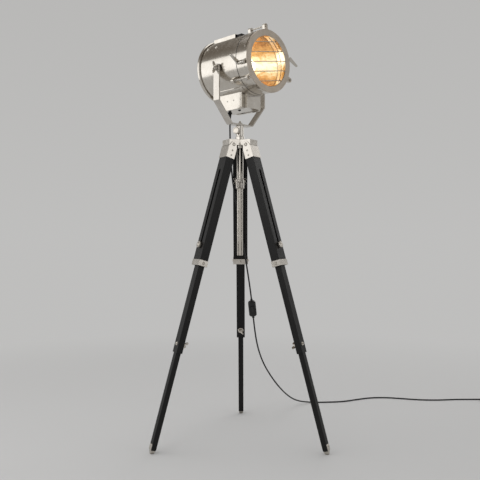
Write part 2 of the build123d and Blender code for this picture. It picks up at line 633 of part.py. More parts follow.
def make_shoe(number):
    size = (LOWER_DEPTH + 2 * SHOE_LIP, LOWER_WIDTH + 2 * SHOE_LIP)
    shoulder = LOWER_END + SHOE_STRAIGHT
    cup = block(MIDDLE_X - size[0] / 2, MIDDLE_X + size[0] / 2, -size[1] / 2, size[1] / 2,
                -shoulder, -LOWER_END)
    wide = Pos(MIDDLE_X, 0, -shoulder) * Rectangle(*size)
    narrow = Pos(MIDDLE_X, 0, -LEG_LENGTH - OVERRUN) * Rectangle(SHOE_TIP, SHOE_TIP)
    shoe = leg_place(number) * (cup + loft([wide, narrow]))
    floor_half = FOOT_RADIUS + UPPER_WIDTH
    return shoe & block(-floor_half, floor_half, -floor_half, floor_half, 0, HINGE_HEIGHT)


def make_leg_knob():
    face = UPPER_DEPTH / 2 + GAP
    knob = fluted_knob(KNOB_RADIUS, KNOB_HEIGHT, KNOB_FLUTES, KNOB_FLUTE_RADIUS)
    knob += Pos(0, 0, KNOB_HEIGHT) * dome(KNOB_RADIUS / 2, KNOB_DOME_HEIGHT)
    knob = Pos(face, 0, -KNOB_AT) * Rot(0, 90, 0) * knob
    shank_ends = ((MIDDLE_OUT - KNOB_SEAT_DEPTH, 0, -KNOB_AT), (face + RUNNING, 0, -KNOB_AT))
    return knob + rod(*shank_ends, KNOB_SHANK_RADIUS)


def make_leg_wing():
    inner_face = MIDDLE_IN - GAP
    wing = wing_piece(CLAMP_HUB_RADIUS, CLAMP_HUB_LENGTH, CLAMP_WING_SPAN, CLAMP_WING_LENGTH)
    wing = Pos(inner_face, 0, -CLAMP_AT) * Rot(0, -90, 0) * around_z(CLAMP_WING_ANGLE, wing)
    press_end = MIDDLE_X - BORE_HALF_DEPTH
    wing += rod((press_end, 0, -CLAMP_AT), (inner_face - RUNNING, 0, -CLAMP_AT), CLAMP_SHANK_RADIUS)
    outer_face = MIDDLE_OUT + GAP
    head = Pos(outer_face, 0, -CLAMP_AT) * Rot(0, 90, 0) * dome(CLAMP_HEAD_RADIUS, CLAMP_HEAD_HEIGHT)
    shank_start = MIDDLE_X + BORE_HALF_DEPTH
    head += rod((shank_start, 0, -CLAMP_AT), (outer_face + RUNNING, 0, -CLAMP_AT), CLAMP_SHANK_RADIUS)
    return group(wing, head)


# Column, stem, yoke and their clamps
STEM_BOTTOM = HUB_TOP + GAP
STEM_TOP = YOKE_BASE_HEIGHT - YOKE_THICKNESS / 2 - GAP
BASE_TOP = YOKE_BASE_HEIGHT + YOKE_THICKNESS / 2
ARM_INSIDE = YOKE_HALF_SPAN - YOKE_THICKNESS / 2
ARM_OUTSIDE = YOKE_HALF_SPAN + YOKE_THICKNESS / 2


def make_column_tube():
    tube = ring(TUBE_BOTTOM, TUBE_TOP, TUBE_RADIUS, TUBE_RADIUS - TUBE_WALL)
    return tube + Pos(0, 0, TUBE_BOTTOM + TUBE_END / 2) * Cylinder(TUBE_RADIUS, TUBE_END)


def make_stem():
    foot_top = STEM_BOTTOM + STEM_FOOT_HEIGHT
    stem = Pos(0, 0, (STEM_BOTTOM + foot_top) / 2) * Cylinder(STEM_FOOT_RADIUS, STEM_FOOT_HEIGHT)
    stem = chamfer(stem.edges().group_by(Axis.Z)[-1], (STEM_FOOT_RADIUS - STEM_RADIUS) / 2)
    stem += Pos(0, 0, (STEM_BOTTOM + STEM_TOP) / 2) * Cylinder(STEM_RADIUS, STEM_TOP - STEM_BOTTOM)
    stem -= rod((0, 0, STEM_BOTTOM - OVERRUN), (0, 0, TUBE_TOP), TUBE_RADIUS + RUNNING)
    stem -= rod((0, 0, TUBE_TOP + STEM_WEB), (0, 0, STEM_TOP + OVERRUN), PAN_SHANK_RADIUS + RUNNING)
    hole_ends = ((0, 0, PAN_KNOB_HEIGHT), (STEM_RADIUS + OVERRUN, 0, PAN_KNOB_HEIGHT))
    hole = rod(*hole_ends, PAN_KNOB_SHANK_RADIUS + RUNNING)
    return stem - around_z(PAN_KNOB_AZIMUTH, hole)


def make_pan_bolt():
    bottom = TUBE_TOP + STEM_WEB + GAP
    heights = (BASE_TOP, BASE_TOP + PAN_WASHER, BASE_TOP + PAN_WASHER + PAN_NUT,
               BASE_TOP + PAN_WASHER + PAN_NUT + PAN_STUD)
    bolt = rod((0, 0, bottom), (0, 0, heights[0]), PAN_SHANK_RADIUS)
    bolt += rod((0, 0, heights[0]), (0, 0, heights[1]), PAN_WASHER_RADIUS)
    bolt += Pos(0, 0, heights[1]) * extrude(RegularPolygon(PAN_NUT_RADIUS, 6), PAN_NUT)
    return bolt + rod((0, 0, heights[2]), (0, 0, heights[3]), PAN_STUD_RADIUS)


def make_pan_knob():
    start = STEM_RADIUS + GAP
    neck = start + PAN_KNOB_BOSS
    knob = rod((PAN_SHANK_RADIUS + RUNNING, 0, 0), (neck, 0, 0), PAN_KNOB_SHANK_RADIUS)
    knob += rod((start, 0, 0), (neck, 0, 0), PAN_KNOB_BOSS_RADIUS)
    grip = fluted_knob(PAN_KNOB_RADIUS, PAN_KNOB_LENGTH, KNOB_FLUTES, KNOB_FLUTE_RADIUS)
    knob += Pos(neck, 0, 0) * Rot(0, 90, 0) * grip
    return around_z(PAN_KNOB_AZIMUTH, Pos(0, 0, PAN_KNOB_HEIGHT) * knob)


def make_yoke():
    corners = [(-YOKE_HALF_SPAN, TILT_HEIGHT), (-YOKE_HALF_SPAN, YOKE_BEND_HEIGHT),
               (-YOKE_HALF_BASE, YOKE_BASE_HEIGHT), (YOKE_HALF_BASE, YOKE_BASE_HEIGHT),
               (YOKE_HALF_SPAN, YOKE_BEND_HEIGHT), (YOKE_HALF_SPAN, TILT_HEIGHT)]
    strip = trace(FilletPolyline(*corners, radius=YOKE_BEND_RADIUS), line_width=YOKE_THICKNESS)
    yoke = slab_xz(strip, -YOKE_WIDTH / 2, YOKE_WIDTH / 2)
    for side in (-1, 1):
        yoke += rod((side * ARM_INSIDE, 0, TILT_HEIGHT), (side * ARM_OUTSIDE, 0, TILT_HEIGHT), YOKE_WIDTH / 2)
        hole_ends = ((side * SHELL_RADIUS, 0, TILT_HEIGHT), (side * TRUNNION_END, 0, TILT_HEIGHT))
        yoke -= rod(*hole_ends, TRUNNION_RADIUS + RUNNING)
    hole_ends = ((0, 0, YOKE_BASE_HEIGHT - YOKE_THICKNESS), (0, 0, YOKE_BASE_HEIGHT + YOKE_THICKNESS))
    return yoke - rod(*hole_ends, PAN_SHANK_RADIUS + RUNNING)


# Head, each piece drawn along the head axis
HEAD = Pos(0, 0, HEAD_HEIGHT) * Rot(90, 0, 0)
SHELL_INSIDE = SHELL_RADIUS - SHELL_WALL


def head_point(angle, radius, z):
    return (radius * math.cos(math.radians(angle)), radius * math.sin(math.radians(angle)), z)


def on_shell(angle, radius, z, shape):
    """Stands a shape's +Z along the outward radius at an angle round the head axis."""
    return Rot(0, 0, angle) * Pos(radius, 0, z) * Rot(0, 90, 0) * shape


def tie_lug(root_radius, z0, z1):
    outline = Pos((root_radius + TIE_LUG_TOP) / 2, 0) * Rectangle(TIE_LUG_TOP - root_radius, TIE_LUG_WIDTH)
    outline = fillet(outline.vertices().group_by(Axis.X)[-1], TIE_LUG_CORNER)
    lug = Pos(0, 0, z0) * extrude(outline, z1 - z0)
    return lug - rod((TIE_RADIUS, 0, z0 - OVERRUN), (TIE_RADIUS, 0, z1 + OVERRUN), TIE_ROD_RADIUS + RUNNING)


def trunnion_line(reach, radius):
    return rod((-reach, -TILT_DROP, 0), (reach, -TILT_DROP, 0), radius)


def make_drum():
    drum = ring(DRUM_REAR, DRUM_FRONT, SHELL_RADIUS, SHELL_INSIDE)
    for angle in TIE_ANGLES:
        lug = tie_lug(SHELL_RADIUS - SHELL_WALL / 2, TIE_LUG_REAR, TIE_LUG_REAR + TIE_LUG_LENGTH)
        drum += around_z(angle, lug)
    return drum - trunnion_line(SHELL_RADIUS + OVERRUN, TRUNNION_RADIUS + RUNNING)


SPIGOT_OUT = SHELL_INSIDE - SPIGOT_PLAY
SPIGOT_IN = SPIGOT_OUT - SPIGOT_WALL


def lever_seat(side):
    """Frame of a clamp lever: its pin along +Z, the head axis towards -X."""
    x, y, z = head_point(LEVER_ANGLES[side], LEVER_RADIUS, 0)
    return Pos(x, y, z) * Rot(0, 0, LEVER_ANGLES[side])


def make_hood():
    hood = ring(HOOD_REAR, BEZEL_REAR, SHELL_RADIUS, SHELL_INSIDE)
    hood += ring(HOOD_REAR, HOOD_REAR + HOOD_SPIGOT, SHELL_RADIUS - SHELL_WALL / 2, SPIGOT_IN)
    hood += ring(HOOD_REAR - HOOD_SPIGOT, HOOD_REAR + SEAM, SPIGOT_OUT, SPIGOT_IN)
    shell_core = Pos(0, 0, BEZEL_REAR / 2) * Cylinder(SHELL_INSIDE + SHELL_WALL / 2, BEZEL_REAR + OVERRUN)
    for side in LEVER_ANGLES:
        knuckle = rod((0, 0, KNUCKLE_REAR), (0, 0, KNUCKLE_FRONT), KNUCKLE_RADIUS)
        knuckle += block(SHELL_INSIDE - LEVER_RADIUS, 0, -KNUCKLE_WEB / 2, KNUCKLE_WEB / 2,
                         KNUCKLE_REAR, KNUCKLE_FRONT)
        hood += lever_seat(side) * knuckle - shell_core
    for side in LEVER_ANGLES:
        hole_ends = ((0, 0, KNUCKLE_REAR - OVERRUN), (0, 0, KNUCKLE_FRONT + OVERRUN))
        hood -= lever_seat(side) * rod(*hole_ends, LEVER_PIN_RADIUS + RUNNING)
    return hood


def make_clamp_lever(side):
    rear, front = KNUCKLE_REAR - GAP - LEVER_COLLAR, KNUCKLE_FRONT + GAP + LEVER_COLLAR
    lever = rod((0, 0, rear), (0, 0, front), LEVER_PIN_RADIUS)
    lever += rod((0, 0, rear), (0, 0, rear + LEVER_COLLAR), LEVER_COLLAR_RADIUS)
    lever += rod((0, 0, front - LEVER_COLLAR), (0, 0, front), LEVER_COLLAR_RADIUS)
    arm_start = rear - LEVER_ARM_THICKNESS if side == "left" else front
    outline = round_hull(0, 0, LEVER_ROOT_RADIUS, LEVER_ARM_LENGTH, 0, LEVER_TIP_RADIUS)
    arm = extrude(outline, LEVER_ARM_THICKNESS)
    turn = ARM_ANGLES[side] - LEVER_ANGLES[side]
    lever += Pos(0, 0, arm_start) * around_z(turn, arm)
    return lever_seat(side) * lever


def make_bezel():
    bevel = BEZEL_FRONT - BEZEL_EDGE
    corners = [(BEZEL_OPENING, BEZEL_REAR), (BEZEL_RADIUS, BEZEL_REAR), (BEZEL_RADIUS, bevel),
               (BEZEL_RADIUS - BEZEL_EDGE, BEZEL_FRONT), (BEZEL_OPENING + BEZEL_EDGE, BEZEL_FRONT),
               (BEZEL_OPENING, bevel)]
    section = Polyline(*[(radius, 0, place) for radius, place in corners], close=True)
    bezel = revolve(make_face(section), Axis.Z)
    for angle in TIE_ANGLES:
        bezel += around_z(angle, tie_lug(BEZEL_RADIUS - BEZEL_EDGE, BEZEL_REAR, BEZEL_FRONT - BEZEL_EDGE))
    return bezel


def make_glass():
    return rod((0, 0, BEZEL_REAR - GLASS_THICKNESS), (0, 0, BEZEL_REAR), SHELL_INSIDE - GLASS_PLAY)


def make_grille():
    depth = (BEZEL_REAR + BEZEL_FRONT) / 2
    opening = Pos(0, 0, depth) * Cylinder(BEZEL_OPENING, BEZEL_FRONT - BEZEL_REAR)
    bars = []
    for number in range(-GRILLE_SIDE_BARS, GRILLE_SIDE_BARS + 1):
        level = number * GRILLE_PITCH
        bar = rod((-BEZEL_RADIUS, level, depth), (BEZEL_RADIUS, level, depth), GRILLE_RADIUS)
        bars.append(around_z(GRILLE_ANGLE, bar) & opening)
    return group(*bars)


REFLECTOR_STEPS = 6
FLANGE_RADIUS = SPIGOT_IN - GAP
REFLECTOR_RIM_RADIUS = FLANGE_RADIUS - REFLECTOR_FLANGE
REFLECTOR_DEPTH = HOOD_REAR - REFLECTOR_SET - REFLECTOR_VERTEX


def reflector_depth(radius):
    return REFLECTOR_VERTEX + REFLECTOR_DEPTH * (radius / REFLECTOR_RIM_RADIUS) ** 2


def make_reflector():
    step = (REFLECTOR_RIM_RADIUS - REFLECTOR_HOLE_RADIUS) / REFLECTOR_STEPS
    radii = [REFLECTOR_HOLE_RADIUS + number * step for number in range(REFLECTOR_STEPS + 1)]
    inside = Spline(*[(radius, 0, reflector_depth(radius)) for radius in radii])
    outside = Spline(*[(radius, 0, reflector_depth(radius) - REFLECTOR_WALL) for radius in reversed(radii)])
    rim, rim_back = inside @ 1, outside @ 0
    edge = Polyline(rim, (FLANGE_RADIUS, 0, rim.Z), (FLANGE_RADIUS, 0, rim_back.Z), rim_back)
    section = make_face([*inside.edges(), *edge.edges(), *outside.edges(), Line(outside @ 1, inside @ 0)])
    return revolve(section, Axis.Z)


HOLDER_FRONT = reflector_depth(REFLECTOR_HOLE_RADIUS) - REFLECTOR_WALL - GAP


def make_lamp_holder():
    holder = rod((0, 0, HOLDER_FRONT - HOLDER_LENGTH), (0, 0, HOLDER_FRONT), HOLDER_RADIUS)
    flange_ends = ((0, 0, HOLDER_FRONT - HOLDER_FLANGE), (0, 0, HOLDER_FRONT))
    holder += rod(*flange_ends, HOLDER_RADIUS + HOLDER_FLANGE_WIDTH)
    bore_ends = ((0, 0, HOLDER_FRONT - HOLDER_BORE_DEPTH), (0, 0, HOLDER_FRONT + OVERRUN))
    return holder - rod(*bore_ends, BULB_CAP_RADIUS + RUNNING)


def make_bulb():
    cap_bottom = HOLDER_FRONT - HOLDER_BORE_DEPTH
    neck_top = HOLDER_FRONT + BULB_NECK
    centre = neck_top + math.sqrt(BULB_RADIUS ** 2 - BULB_NECK_RADIUS ** 2)
    neck = Pos(0, 0, (HOLDER_FRONT + neck_top) / 2) * Cone(BULB_CAP_RADIUS, BULB_NECK_RADIUS, BULB_NECK)
    bulb = rod((0, 0, cap_bottom), (0, 0, HOLDER_FRONT), BULB_CAP_RADIUS) + neck
    return bulb + Pos(0, 0, centre) * Sphere(BULB_RADIUS)


def shallow_arc(radius, rim_z, apex_z):
    """An arc of the XZ plane from a rim to the head axis, square to that axis."""
    rise = rim_z - apex_z
    ball = (radius ** 2 + rise ** 2) / (2 * rise)
    half = radius / 2
    half_z = apex_z + ball - math.sqrt(ball ** 2 - half ** 2)
    return ThreePointArc((radius, 0, rim_z), (half, 0, half_z), (0, 0, apex_z))


def make_rear_cap():
    inside = SHELL_RADIUS + SPIGOT_PLAY
    outer = shallow_arc(CAP_RADIUS - CAP_EDGE, CAP_SKIRT_REAR, CAP_APEX)
    inner = shallow_arc(inside, CAP_SKIRT_REAR + CAP_WALL, CAP_APEX + CAP_WALL)
    skirt = Polyline(inner @ 0, (inside, 0, CAP_SKIRT_FRONT), (CAP_RADIUS - CAP_EDGE, 0, CAP_SKIRT_FRONT),
                     (CAP_RADIUS, 0, CAP_SKIRT_FRONT - CAP_EDGE), (CAP_RADIUS, 0, CAP_SKIRT_REAR + CAP_EDGE),
                     outer @ 0)
    section = make_face([*skirt.edges(), *outer.edges(), Line(outer @ 1, inner @ 1), *inner.edges()])
    return revolve(section, Axis.Z)


def shell_cut(extra):
    return Cylinder(SHELL_RADIUS + extra, 2 * (BEZEL_FRONT - DRUM_REAR))


def make_vent_cover():
    root = SHELL_RADIUS * math.cos(math.asin(VENT_HALF_WIDTH / SHELL_RADIUS)) - OVERRUN
    inside_half, inside_top = VENT_HALF_WIDTH - VENT_WALL, VENT_TOP - VENT_WALL
    cover = block(-VENT_HALF_WIDTH, VENT_HALF_WIDTH, root, VENT_TOP, VENT_REAR, VENT_FRONT)
    cover -= block(-inside_half, inside_half, root - OVERRUN, inside_top,
                   VENT_REAR + VENT_WALL, VENT_FRONT + OVERRUN)
    baffle_half, baffle_top = VENT_HALF_WIDTH - BAFFLE_INSET, VENT_TOP - BAFFLE_DROP
    baffle_rear, baffle_front = VENT_FRONT - BAFFLE_LENGTH / 2, VENT_FRONT + BAFFLE_LENGTH
    baffle = block(-baffle_half, baffle_half, root, baffle_top, baffle_rear, baffle_front)
    pitch = BAFFLE_LENGTH / BAFFLE_SLOTS
    slot_half = baffle_half - BAFFLE_INSET
    for number in range(BAFFLE_SLOTS):
        place = VENT_FRONT + (number + 1 / 2) * pitch
        baffle -= block(-slot_half, slot_half, baffle_top - BAFFLE_SLOT_DEPTH, baffle_top + OVERRUN,
                        place - BAFFLE_SLOT / 2, place + BAFFLE_SLOT / 2)
    return group(cover - shell_cut(0), baffle - shell_cut(0))


def make_power_box():
    saddle = ring(-SADDLE_HALF_LENGTH, SADDLE_HALF_LENGTH, SHELL_RADIUS + SADDLE, SHELL_RADIUS)
    saddle &= block(-SADDLE_HALF_WIDTH, SADDLE_HALF_WIDTH, BOX_BOTTOM, 0,
                    -SADDLE_HALF_LENGTH, SADDLE_HALF_LENGTH)
    inner_width, inner_length = BOX_HALF_WIDTH - BOX_WALL, BOX_HALF_LENGTH - BOX_WALL
    case = block(-BOX_HALF_WIDTH, BOX_HALF_WIDTH, BOX_BOTTOM, -BOX_HALF_WIDTH,
                 -BOX_HALF_LENGTH, BOX_HALF_LENGTH)
    case -= block(-inner_width, inner_width, BOX_BOTTOM + BOX_WALL, 0, -inner_length, inner_length)
    return saddle + (case - shell_cut(0))


def make_box_covers():
    covers = []
    bottom = BOX_BOTTOM - COVER_LIP
    roof = -SHELL_RADIUS / 2
    for side in (-1, 1):
        inner, outer = BOX_HALF_WIDTH, BOX_HALF_WIDTH + COVER_DEPTH
        tray = block(inner, outer, bottom, roof, -COVER_HALF_LENGTH, COVER_HALF_LENGTH)
        tray = fillet(tray.edges().filter_by(Axis.X), COVER_CORNER)
        tray = fillet(tray.faces().sort_by(Axis.X)[-1].edges(), COVER_WALL)
        tray -= block(inner - OVERRUN, outer - COVER_WALL, bottom + COVER_WALL, roof - COVER_WALL,
                      -COVER_HALF_LENGTH + COVER_WALL, COVER_HALF_LENGTH - COVER_WALL)
        tray -= shell_cut(SADDLE + GAP)
        covers.append(tray if side > 0 else mirror(tray, Plane.YZ))
    return group(*covers)


def make_head_screws():
    screws = []
    cover_face = BOX_HALF_WIDTH + COVER_DEPTH
    saddle_angle = math.degrees(math.asin(SADDLE_SCREW_SIDE / (SHELL_RADIUS + SADDLE)))
    for side in (-1, 1):
        for number in range(COVER_SCREWS):
            place = (number - (COVER_SCREWS - 1) / 2) * COVER_SCREW_PITCH
            head = dome(COVER_SCREW_RADIUS, COVER_SCREW_HEIGHT)
            screws.append(Pos(side * cover_face, COVER_SCREW_LEVEL, place) * Rot(0, side * 90, 0) * head)
        for step in (-1, 0, 1):
            head = dome(SADDLE_SCREW_RADIUS, SADDLE_SCREW_HEIGHT)
            angle = -90 + side * saddle_angle
            screws.append(on_shell(angle, SHELL_RADIUS + SADDLE, step * SADDLE_SCREW_PITCH, head))
    for angle in DRUM_SCREW_ANGLES:
        for place in DRUM_SCREW_PLACES:
            screws.append(on_shell(angle, SHELL_RADIUS, place, dome(DRUM_SCREW_RADIUS, DRUM_SCREW_HEIGHT)))
    for angle in HOOD_SCREW_ANGLES:
        head = dome(HOOD_SCREW_RADIUS, HOOD_SCREW_HEIGHT)
        screws.append(on_shell(angle, SHELL_RADIUS, HOOD_SCREW_PLACE, head))
    return group(*screws)


def make_trunnions():
    nut_face = math.sqrt(SHELL_INSIDE ** 2 - (TILT_DROP + TRUNNION_NUT_RADIUS) ** 2)
    studs = []
    for side in (-1, 1):
        places = (nut_face - TRUNNION_NUT, nut_face, nut_face + TRUNNION_NUT_PLAY, ARM_INSIDE - GAP,
                  TRUNNION_END)
        inside, face, spacer_start, spacer_end, tip = [(side * place, -TILT_DROP, 0) for place in places]
        stud = rod(inside, tip, TRUNNION_RADIUS) + rod(inside, face, TRUNNION_NUT_RADIUS)
        spacer = rod(spacer_start, spacer_end, TRUNNION_SPACER_RADIUS)
        studs.append(stud + (spacer - shell_cut(0)))
    return group(*studs)


def make_tilt_wing(side):
    start = ARM_OUTSIDE + GAP
    wing = wing_piece(TILT_HUB_RADIUS, TILT_HUB_LENGTH, TILT_WING_SPAN, TILT_WING_LENGTH)
    wing = Pos(side * start, 0, TILT_HEIGHT) * Rot(0, side * 90, 0) * wing
    hole_ends = [(side * place, 0, TILT_HEIGHT) for place in (start - OVERRUN, TRUNNION_END + OVERRUN)]
    return wing - rod(*hole_ends, TRUNNION_RADIUS + RUNNING)


def make_tie_rods():
    rods = []
    lug_rear, lug_front = TIE_LUG_REAR, BEZEL_FRONT - BEZEL_EDGE
    for angle in TIE_ANGLES:
        ends = [head_point(angle, TIE_RADIUS, place) for place in (lug_rear - TIE_NUT, lug_front + TIE_NUT)]
        piece = rod(*ends, TIE_ROD_RADIUS)
        for start in (lug_rear - TIE_NUT, TIE_LUG_REAR + TIE_LUG_LENGTH, BEZEL_REAR - TIE_NUT, lug_front):
            nut = extrude(RegularPolygon(TIE_NUT_RADIUS, 6), TIE_NUT)
            piece += Pos(*head_point(angle, TIE_RADIUS, start)) * around_z(angle, nut)
        rods.append(piece)
    return group(*rods)


# Cord with its gland, switch and plug
BOX_UNDERSIDE = HEAD_HEIGHT + BOX_BOTTOM


def make_gland():
    top = BOX_UNDERSIDE
    gland = rod((0, GLAND_PLACE, top - GLAND_FLANGE), (0, GLAND_PLACE, top), GLAND_FLANGE_RADIUS)
    taper = Cone(GLAND_TIP_RADIUS, GLAND_ROOT_RADIUS, GLAND_LENGTH)
    gland += Pos(0, GLAND_PLACE, top - GLAND_FLANGE - GLAND_LENGTH / 2) * taper
    plug = Rot(180, 0, 0) * dome(PLUG_HOLE_RADIUS, PLUG_HOLE_HEIGHT)
    return group(gland, Pos(PLUG_HOLE_X, PLUG_HOLE_Y, top) * plug)


def cord_tube(name, route):
    points = [Vector(*point) for point in route]
    runs = [after - before for before, after in zip(points, points[1:])]
    radii = []
    for before, after in zip(runs, runs[1:]):
        half_turn = math.radians(before.get_angle(after)) / 2
        radii.append(BEND_SHARE * min(before.length, after.length) / math.tan(half_turn))
    path = FilletPolyline(*points, radius=radii)
    section = Plane(origin=path @ 0, z_dir=path % 0) * Circle(CORD_RADIUS)
    tube = sweep(section, path=path)
    print(name, "radii", [round(radius) for radius in radii], "length", round(path.length, 1),
          "volume share", round(tube.volume / (math.pi * CORD_RADIUS ** 2 * path.length), 4))
    return tube


def coil_sample(turn, centre, start_angle):
    """Centre line of the coil: in on the floor, up a layer where the spiral reverses, and out on top."""
    climb = max(0, min(1, (turn - COIL_LAYER_TURNS) / COIL_CLIMB_TURNS))
    inward = min(turn, COIL_LAYER_TURNS)
    outward = max(0, turn - COIL_LAYER_TURNS - COIL_CLIMB_TURNS)
    dip = COIL_PITCH * COIL_CLIMB_TURNS * climb * (1 - climb)
    radius = COIL_RADIUS - COIL_PITCH * (inward - outward) - dip
    angle = start_angle - 2 * math.pi * turn
    height = CORD_REST + COIL_LAYER * climb ** 2 * (3 - 2 * climb)
    return Vector(centre.X + radius * math.cos(angle), centre.Y + radius * math.sin(angle), height)


def biarc(start, start_way, end, end_way):
    run, ways = end - start, start_way + end_way
    spread = 2 * (1 - start_way.dot(end_way))
    across = run.dot(ways)
    reach = (math.sqrt(across ** 2 + spread * run.dot(run)) - across) / spread
    middle = (start + end + (start_way - end_way) * reach) * 0.5
    first = TangentArc(start, middle, tangent=start_way)
    return [first, TangentArc(middle, end, tangent=first % 1)]


def coil_layout():
    entry, before = Vector(*FLOOR_ROUTE[-1]), Vector(*FLOOR_ROUTE[-2])
    heading = (entry - before).normalized()
    inwards = Vector(heading.Y, -heading.X, 0)
    start = entry + heading * (2 * CORD_RADIUS)
    centre = start + inwards * COIL_RADIUS
    start_angle = math.atan2(-inwards.Y, -inwards.X)
    return entry, heading, start, centre, start_angle


COIL_TURNS = 2 * COIL_LAYER_TURNS + COIL_CLIMB_TURNS
COIL_STEPS_PER_TURN = 4
COIL_CHECK_STEPS = 60


def coil_way(turn, centre, start_angle):
    step = 1 / (COIL_CHECK_STEPS * COIL_CHECK_STEPS)
    low, high = max(0, turn - step), min(COIL_TURNS, turn + step)
    return (coil_sample(high, centre, start_angle) - coil_sample(low, centre, start_angle)).normalized()


def make_coil():
    entry, heading, start, centre, start_angle = coil_layout()
    steps = round(COIL_TURNS * COIL_STEPS_PER_TURN)
    turns = [number / COIL_STEPS_PER_TURN for number in range(steps + 1)]
    points = [coil_sample(turn, centre, start_angle) for turn in turns]
    ways = [heading] + [coil_way(turn, centre, start_angle) for turn in turns[1:-1]] + [heading]
    edges = [Line(entry, points[0])]
    for number in range(steps):
        edges += biarc(points[number], ways[number], points[number + 1], ways[number + 1])
    edges.append(Line(points[-1], points[-1] + heading * COIL_TAIL))
    path = Wire(edges)
    section = Plane(origin=entry, z_dir=heading) * Circle(CORD_RADIUS)
    coil = sweep(section, path=path)
    count = round(COIL_TURNS * COIL_CHECK_STEPS)
    line = [path @ (number / count) for number in range(count + 1)]
    apart = COIL_CHECK_STEPS // 2
    least = min((line[i] - line[j]).length for i in range(count) for j in range(i + apart, count))
    print("coil length", round(path.length, 1), "least gap to itself", round(least - 2 * CORD_RADIUS, 2),
          "volume share", round(coil.volume / (math.pi * CORD_RADIUS ** 2 * path.length), 4))
    return coil


def make_plug():
    entry, heading, start, centre, start_angle = coil_layout()
    height = CORD_REST + COIL_LAYER
    place = start + heading * COIL_TAIL
    seat = Plane(origin=(place.X, place.Y, height), x_dir=(-heading.Y, heading.X, 0), z_dir=heading)
    relief = Cone(GLAND_TIP_RADIUS, (PLUG_HEIGHT - PLUG_EDGE) / 2, PLUG_RELIEF)
    relief = Pos(0, 0, PLUG_RELIEF / 2) * relief
    body = block(-PLUG_WIDTH / 2, PLUG_WIDTH / 2, -PLUG_HEIGHT / 2, PLUG_HEIGHT / 2,
                 PLUG_RELIEF, PLUG_RELIEF + PLUG_LENGTH)
    body = fillet(body.edges().filter_by(Axis.Z), PLUG_EDGE)
    pins = []
    for side in (-1, 1):
        face, offset = PLUG_RELIEF + PLUG_LENGTH, side * PIN_PITCH / 2
        pins.append(rod((offset, 0, face), (offset, 0, face + PIN_LENGTH), PIN_RADIUS))
    return group(seat * (relief + body), *[seat * pin for pin in pins])


def switch_frame():
    """Switch frame: +Z down the cord, +Y out of the rocker face."""
    top, bottom = Vector(*SWITCH_TOP), Vector(*SWITCH_BOTTOM)
    along = (bottom - top).normalized()
    sideways = math.radians(SWITCH_FACE_AZIMUTH + 90)
    across = Vector(math.cos(sideways), math.sin(sideways), 0)
    across = (across - along * across.dot(along)).normalized()
    return Plane(origin=SWITCH_TOP, x_dir=across, z_dir=along), (bottom - top).length


def switch_half(y0, y1, length):
    half = block(-SWITCH_WIDTH / 2, SWITCH_WIDTH / 2, y0, y1, SWITCH_NECK, length - SWITCH_NECK)
    corners = half.edges().filter_by(Axis.Y)
    half = fillet(corners, SWITCH_WIDTH / 3)
    far = half.faces().sort_by(Axis.Y)[-1 if y1 > 0 else 0]
    return chamfer(far.edges(), SWITCH_EDGE)


def make_switch():
    frame, length = switch_frame()
    base = switch_half(-SWITCH_HALF_DEPTH, 0, length)
    for z0, z1 in ((0, SWITCH_NECK), (length - SWITCH_NECK, length)):
        neck = rod((0, 0, z0), (0, 0, z1), SWITCH_NECK_RADIUS)
        base += neck
    cover = switch_half(0, SWITCH_HALF_DEPTH, length)
    middle = length / 2
    side, end = ROCKER_WIDTH / 2 + ROCKER_PLAY, ROCKER_LENGTH / 2 + ROCKER_PLAY
    floor_level = SWITCH_HALF_DEPTH - ROCKER_DEPTH
    cover -= block(-side, side, floor_level, SWITCH_HALF_DEPTH + OVERRUN, middle - end, middle + end)
    pivot = floor_level + ROCKER_DEPTH / 2 + ROCKER_PLAY
    rocker = block(-ROCKER_WIDTH / 2, ROCKER_WIDTH / 2, -ROCKER_DEPTH / 4, ROCKER_DEPTH / 2 + ROCKER_PROUD,
                   -ROCKER_LENGTH / 2, ROCKER_LENGTH / 2)
    rocker = fillet(rocker.faces().sort_by(Axis.Y)[-1].edges(), ROCKER_PLAY)
    rocker = Pos(0, pivot, middle) * Rot(ROCKER_ON, 0, 0) * rocker
    axle, socket = side + ROCKER_AXLE_REACH, side + ROCKER_AXLE_REACH + GAP
    cover -= rod((-socket, pivot, middle), (socket, pivot, middle), ROCKER_AXLE_RADIUS + RUNNING)
    rocker += rod((-axle, pivot, middle), (axle, pivot, middle), ROCKER_AXLE_RADIUS)
    print("rocker pivot", frame.from_local_coords((0, pivot, middle)), "axis", frame.x_dir)
    return frame * base, frame * cover, frame * rocker


# Assembly
def tripod_pieces():
    pieces = {"hub": make_hub(), "hinge_bolts": make_hinge_bolts()}
    pieces.update({"sleeve": make_sleeve(), "collar": make_collar()})
    for name, azimuth in zip(("collar_wing_right", "collar_wing_left"), COLLAR_WING_AZIMUTHS):
        pieces[name] = make_collar_wing(azimuth)
    for number, name in enumerate(LEG_NAMES):
        place = leg_place(number)
        makers = {"fittings": make_fittings, "upper": make_upper, "middle": make_middle, "lower": make_lower,
                  "knob": make_leg_knob, "wing": make_leg_wing}
        for piece, maker in makers.items():
            pieces[f"{name}_leg_{piece}"] = place * maker()
        pieces[f"{name}_leg_shoe"] = make_shoe(number)
    return pieces


def column_pieces():
    pieces = {"column_tube": make_column_tube(), "stem": make_stem(), "pan_knob": make_pan_knob()}
    pieces.update({"yoke": make_yoke(), "pan_bolt": make_pan_bolt()})
    for side, name in ((-1, "left"), (1, "right")):
        pieces[f"tilt_wing_{name}"] = make_tilt_wing(side)
    return pieces


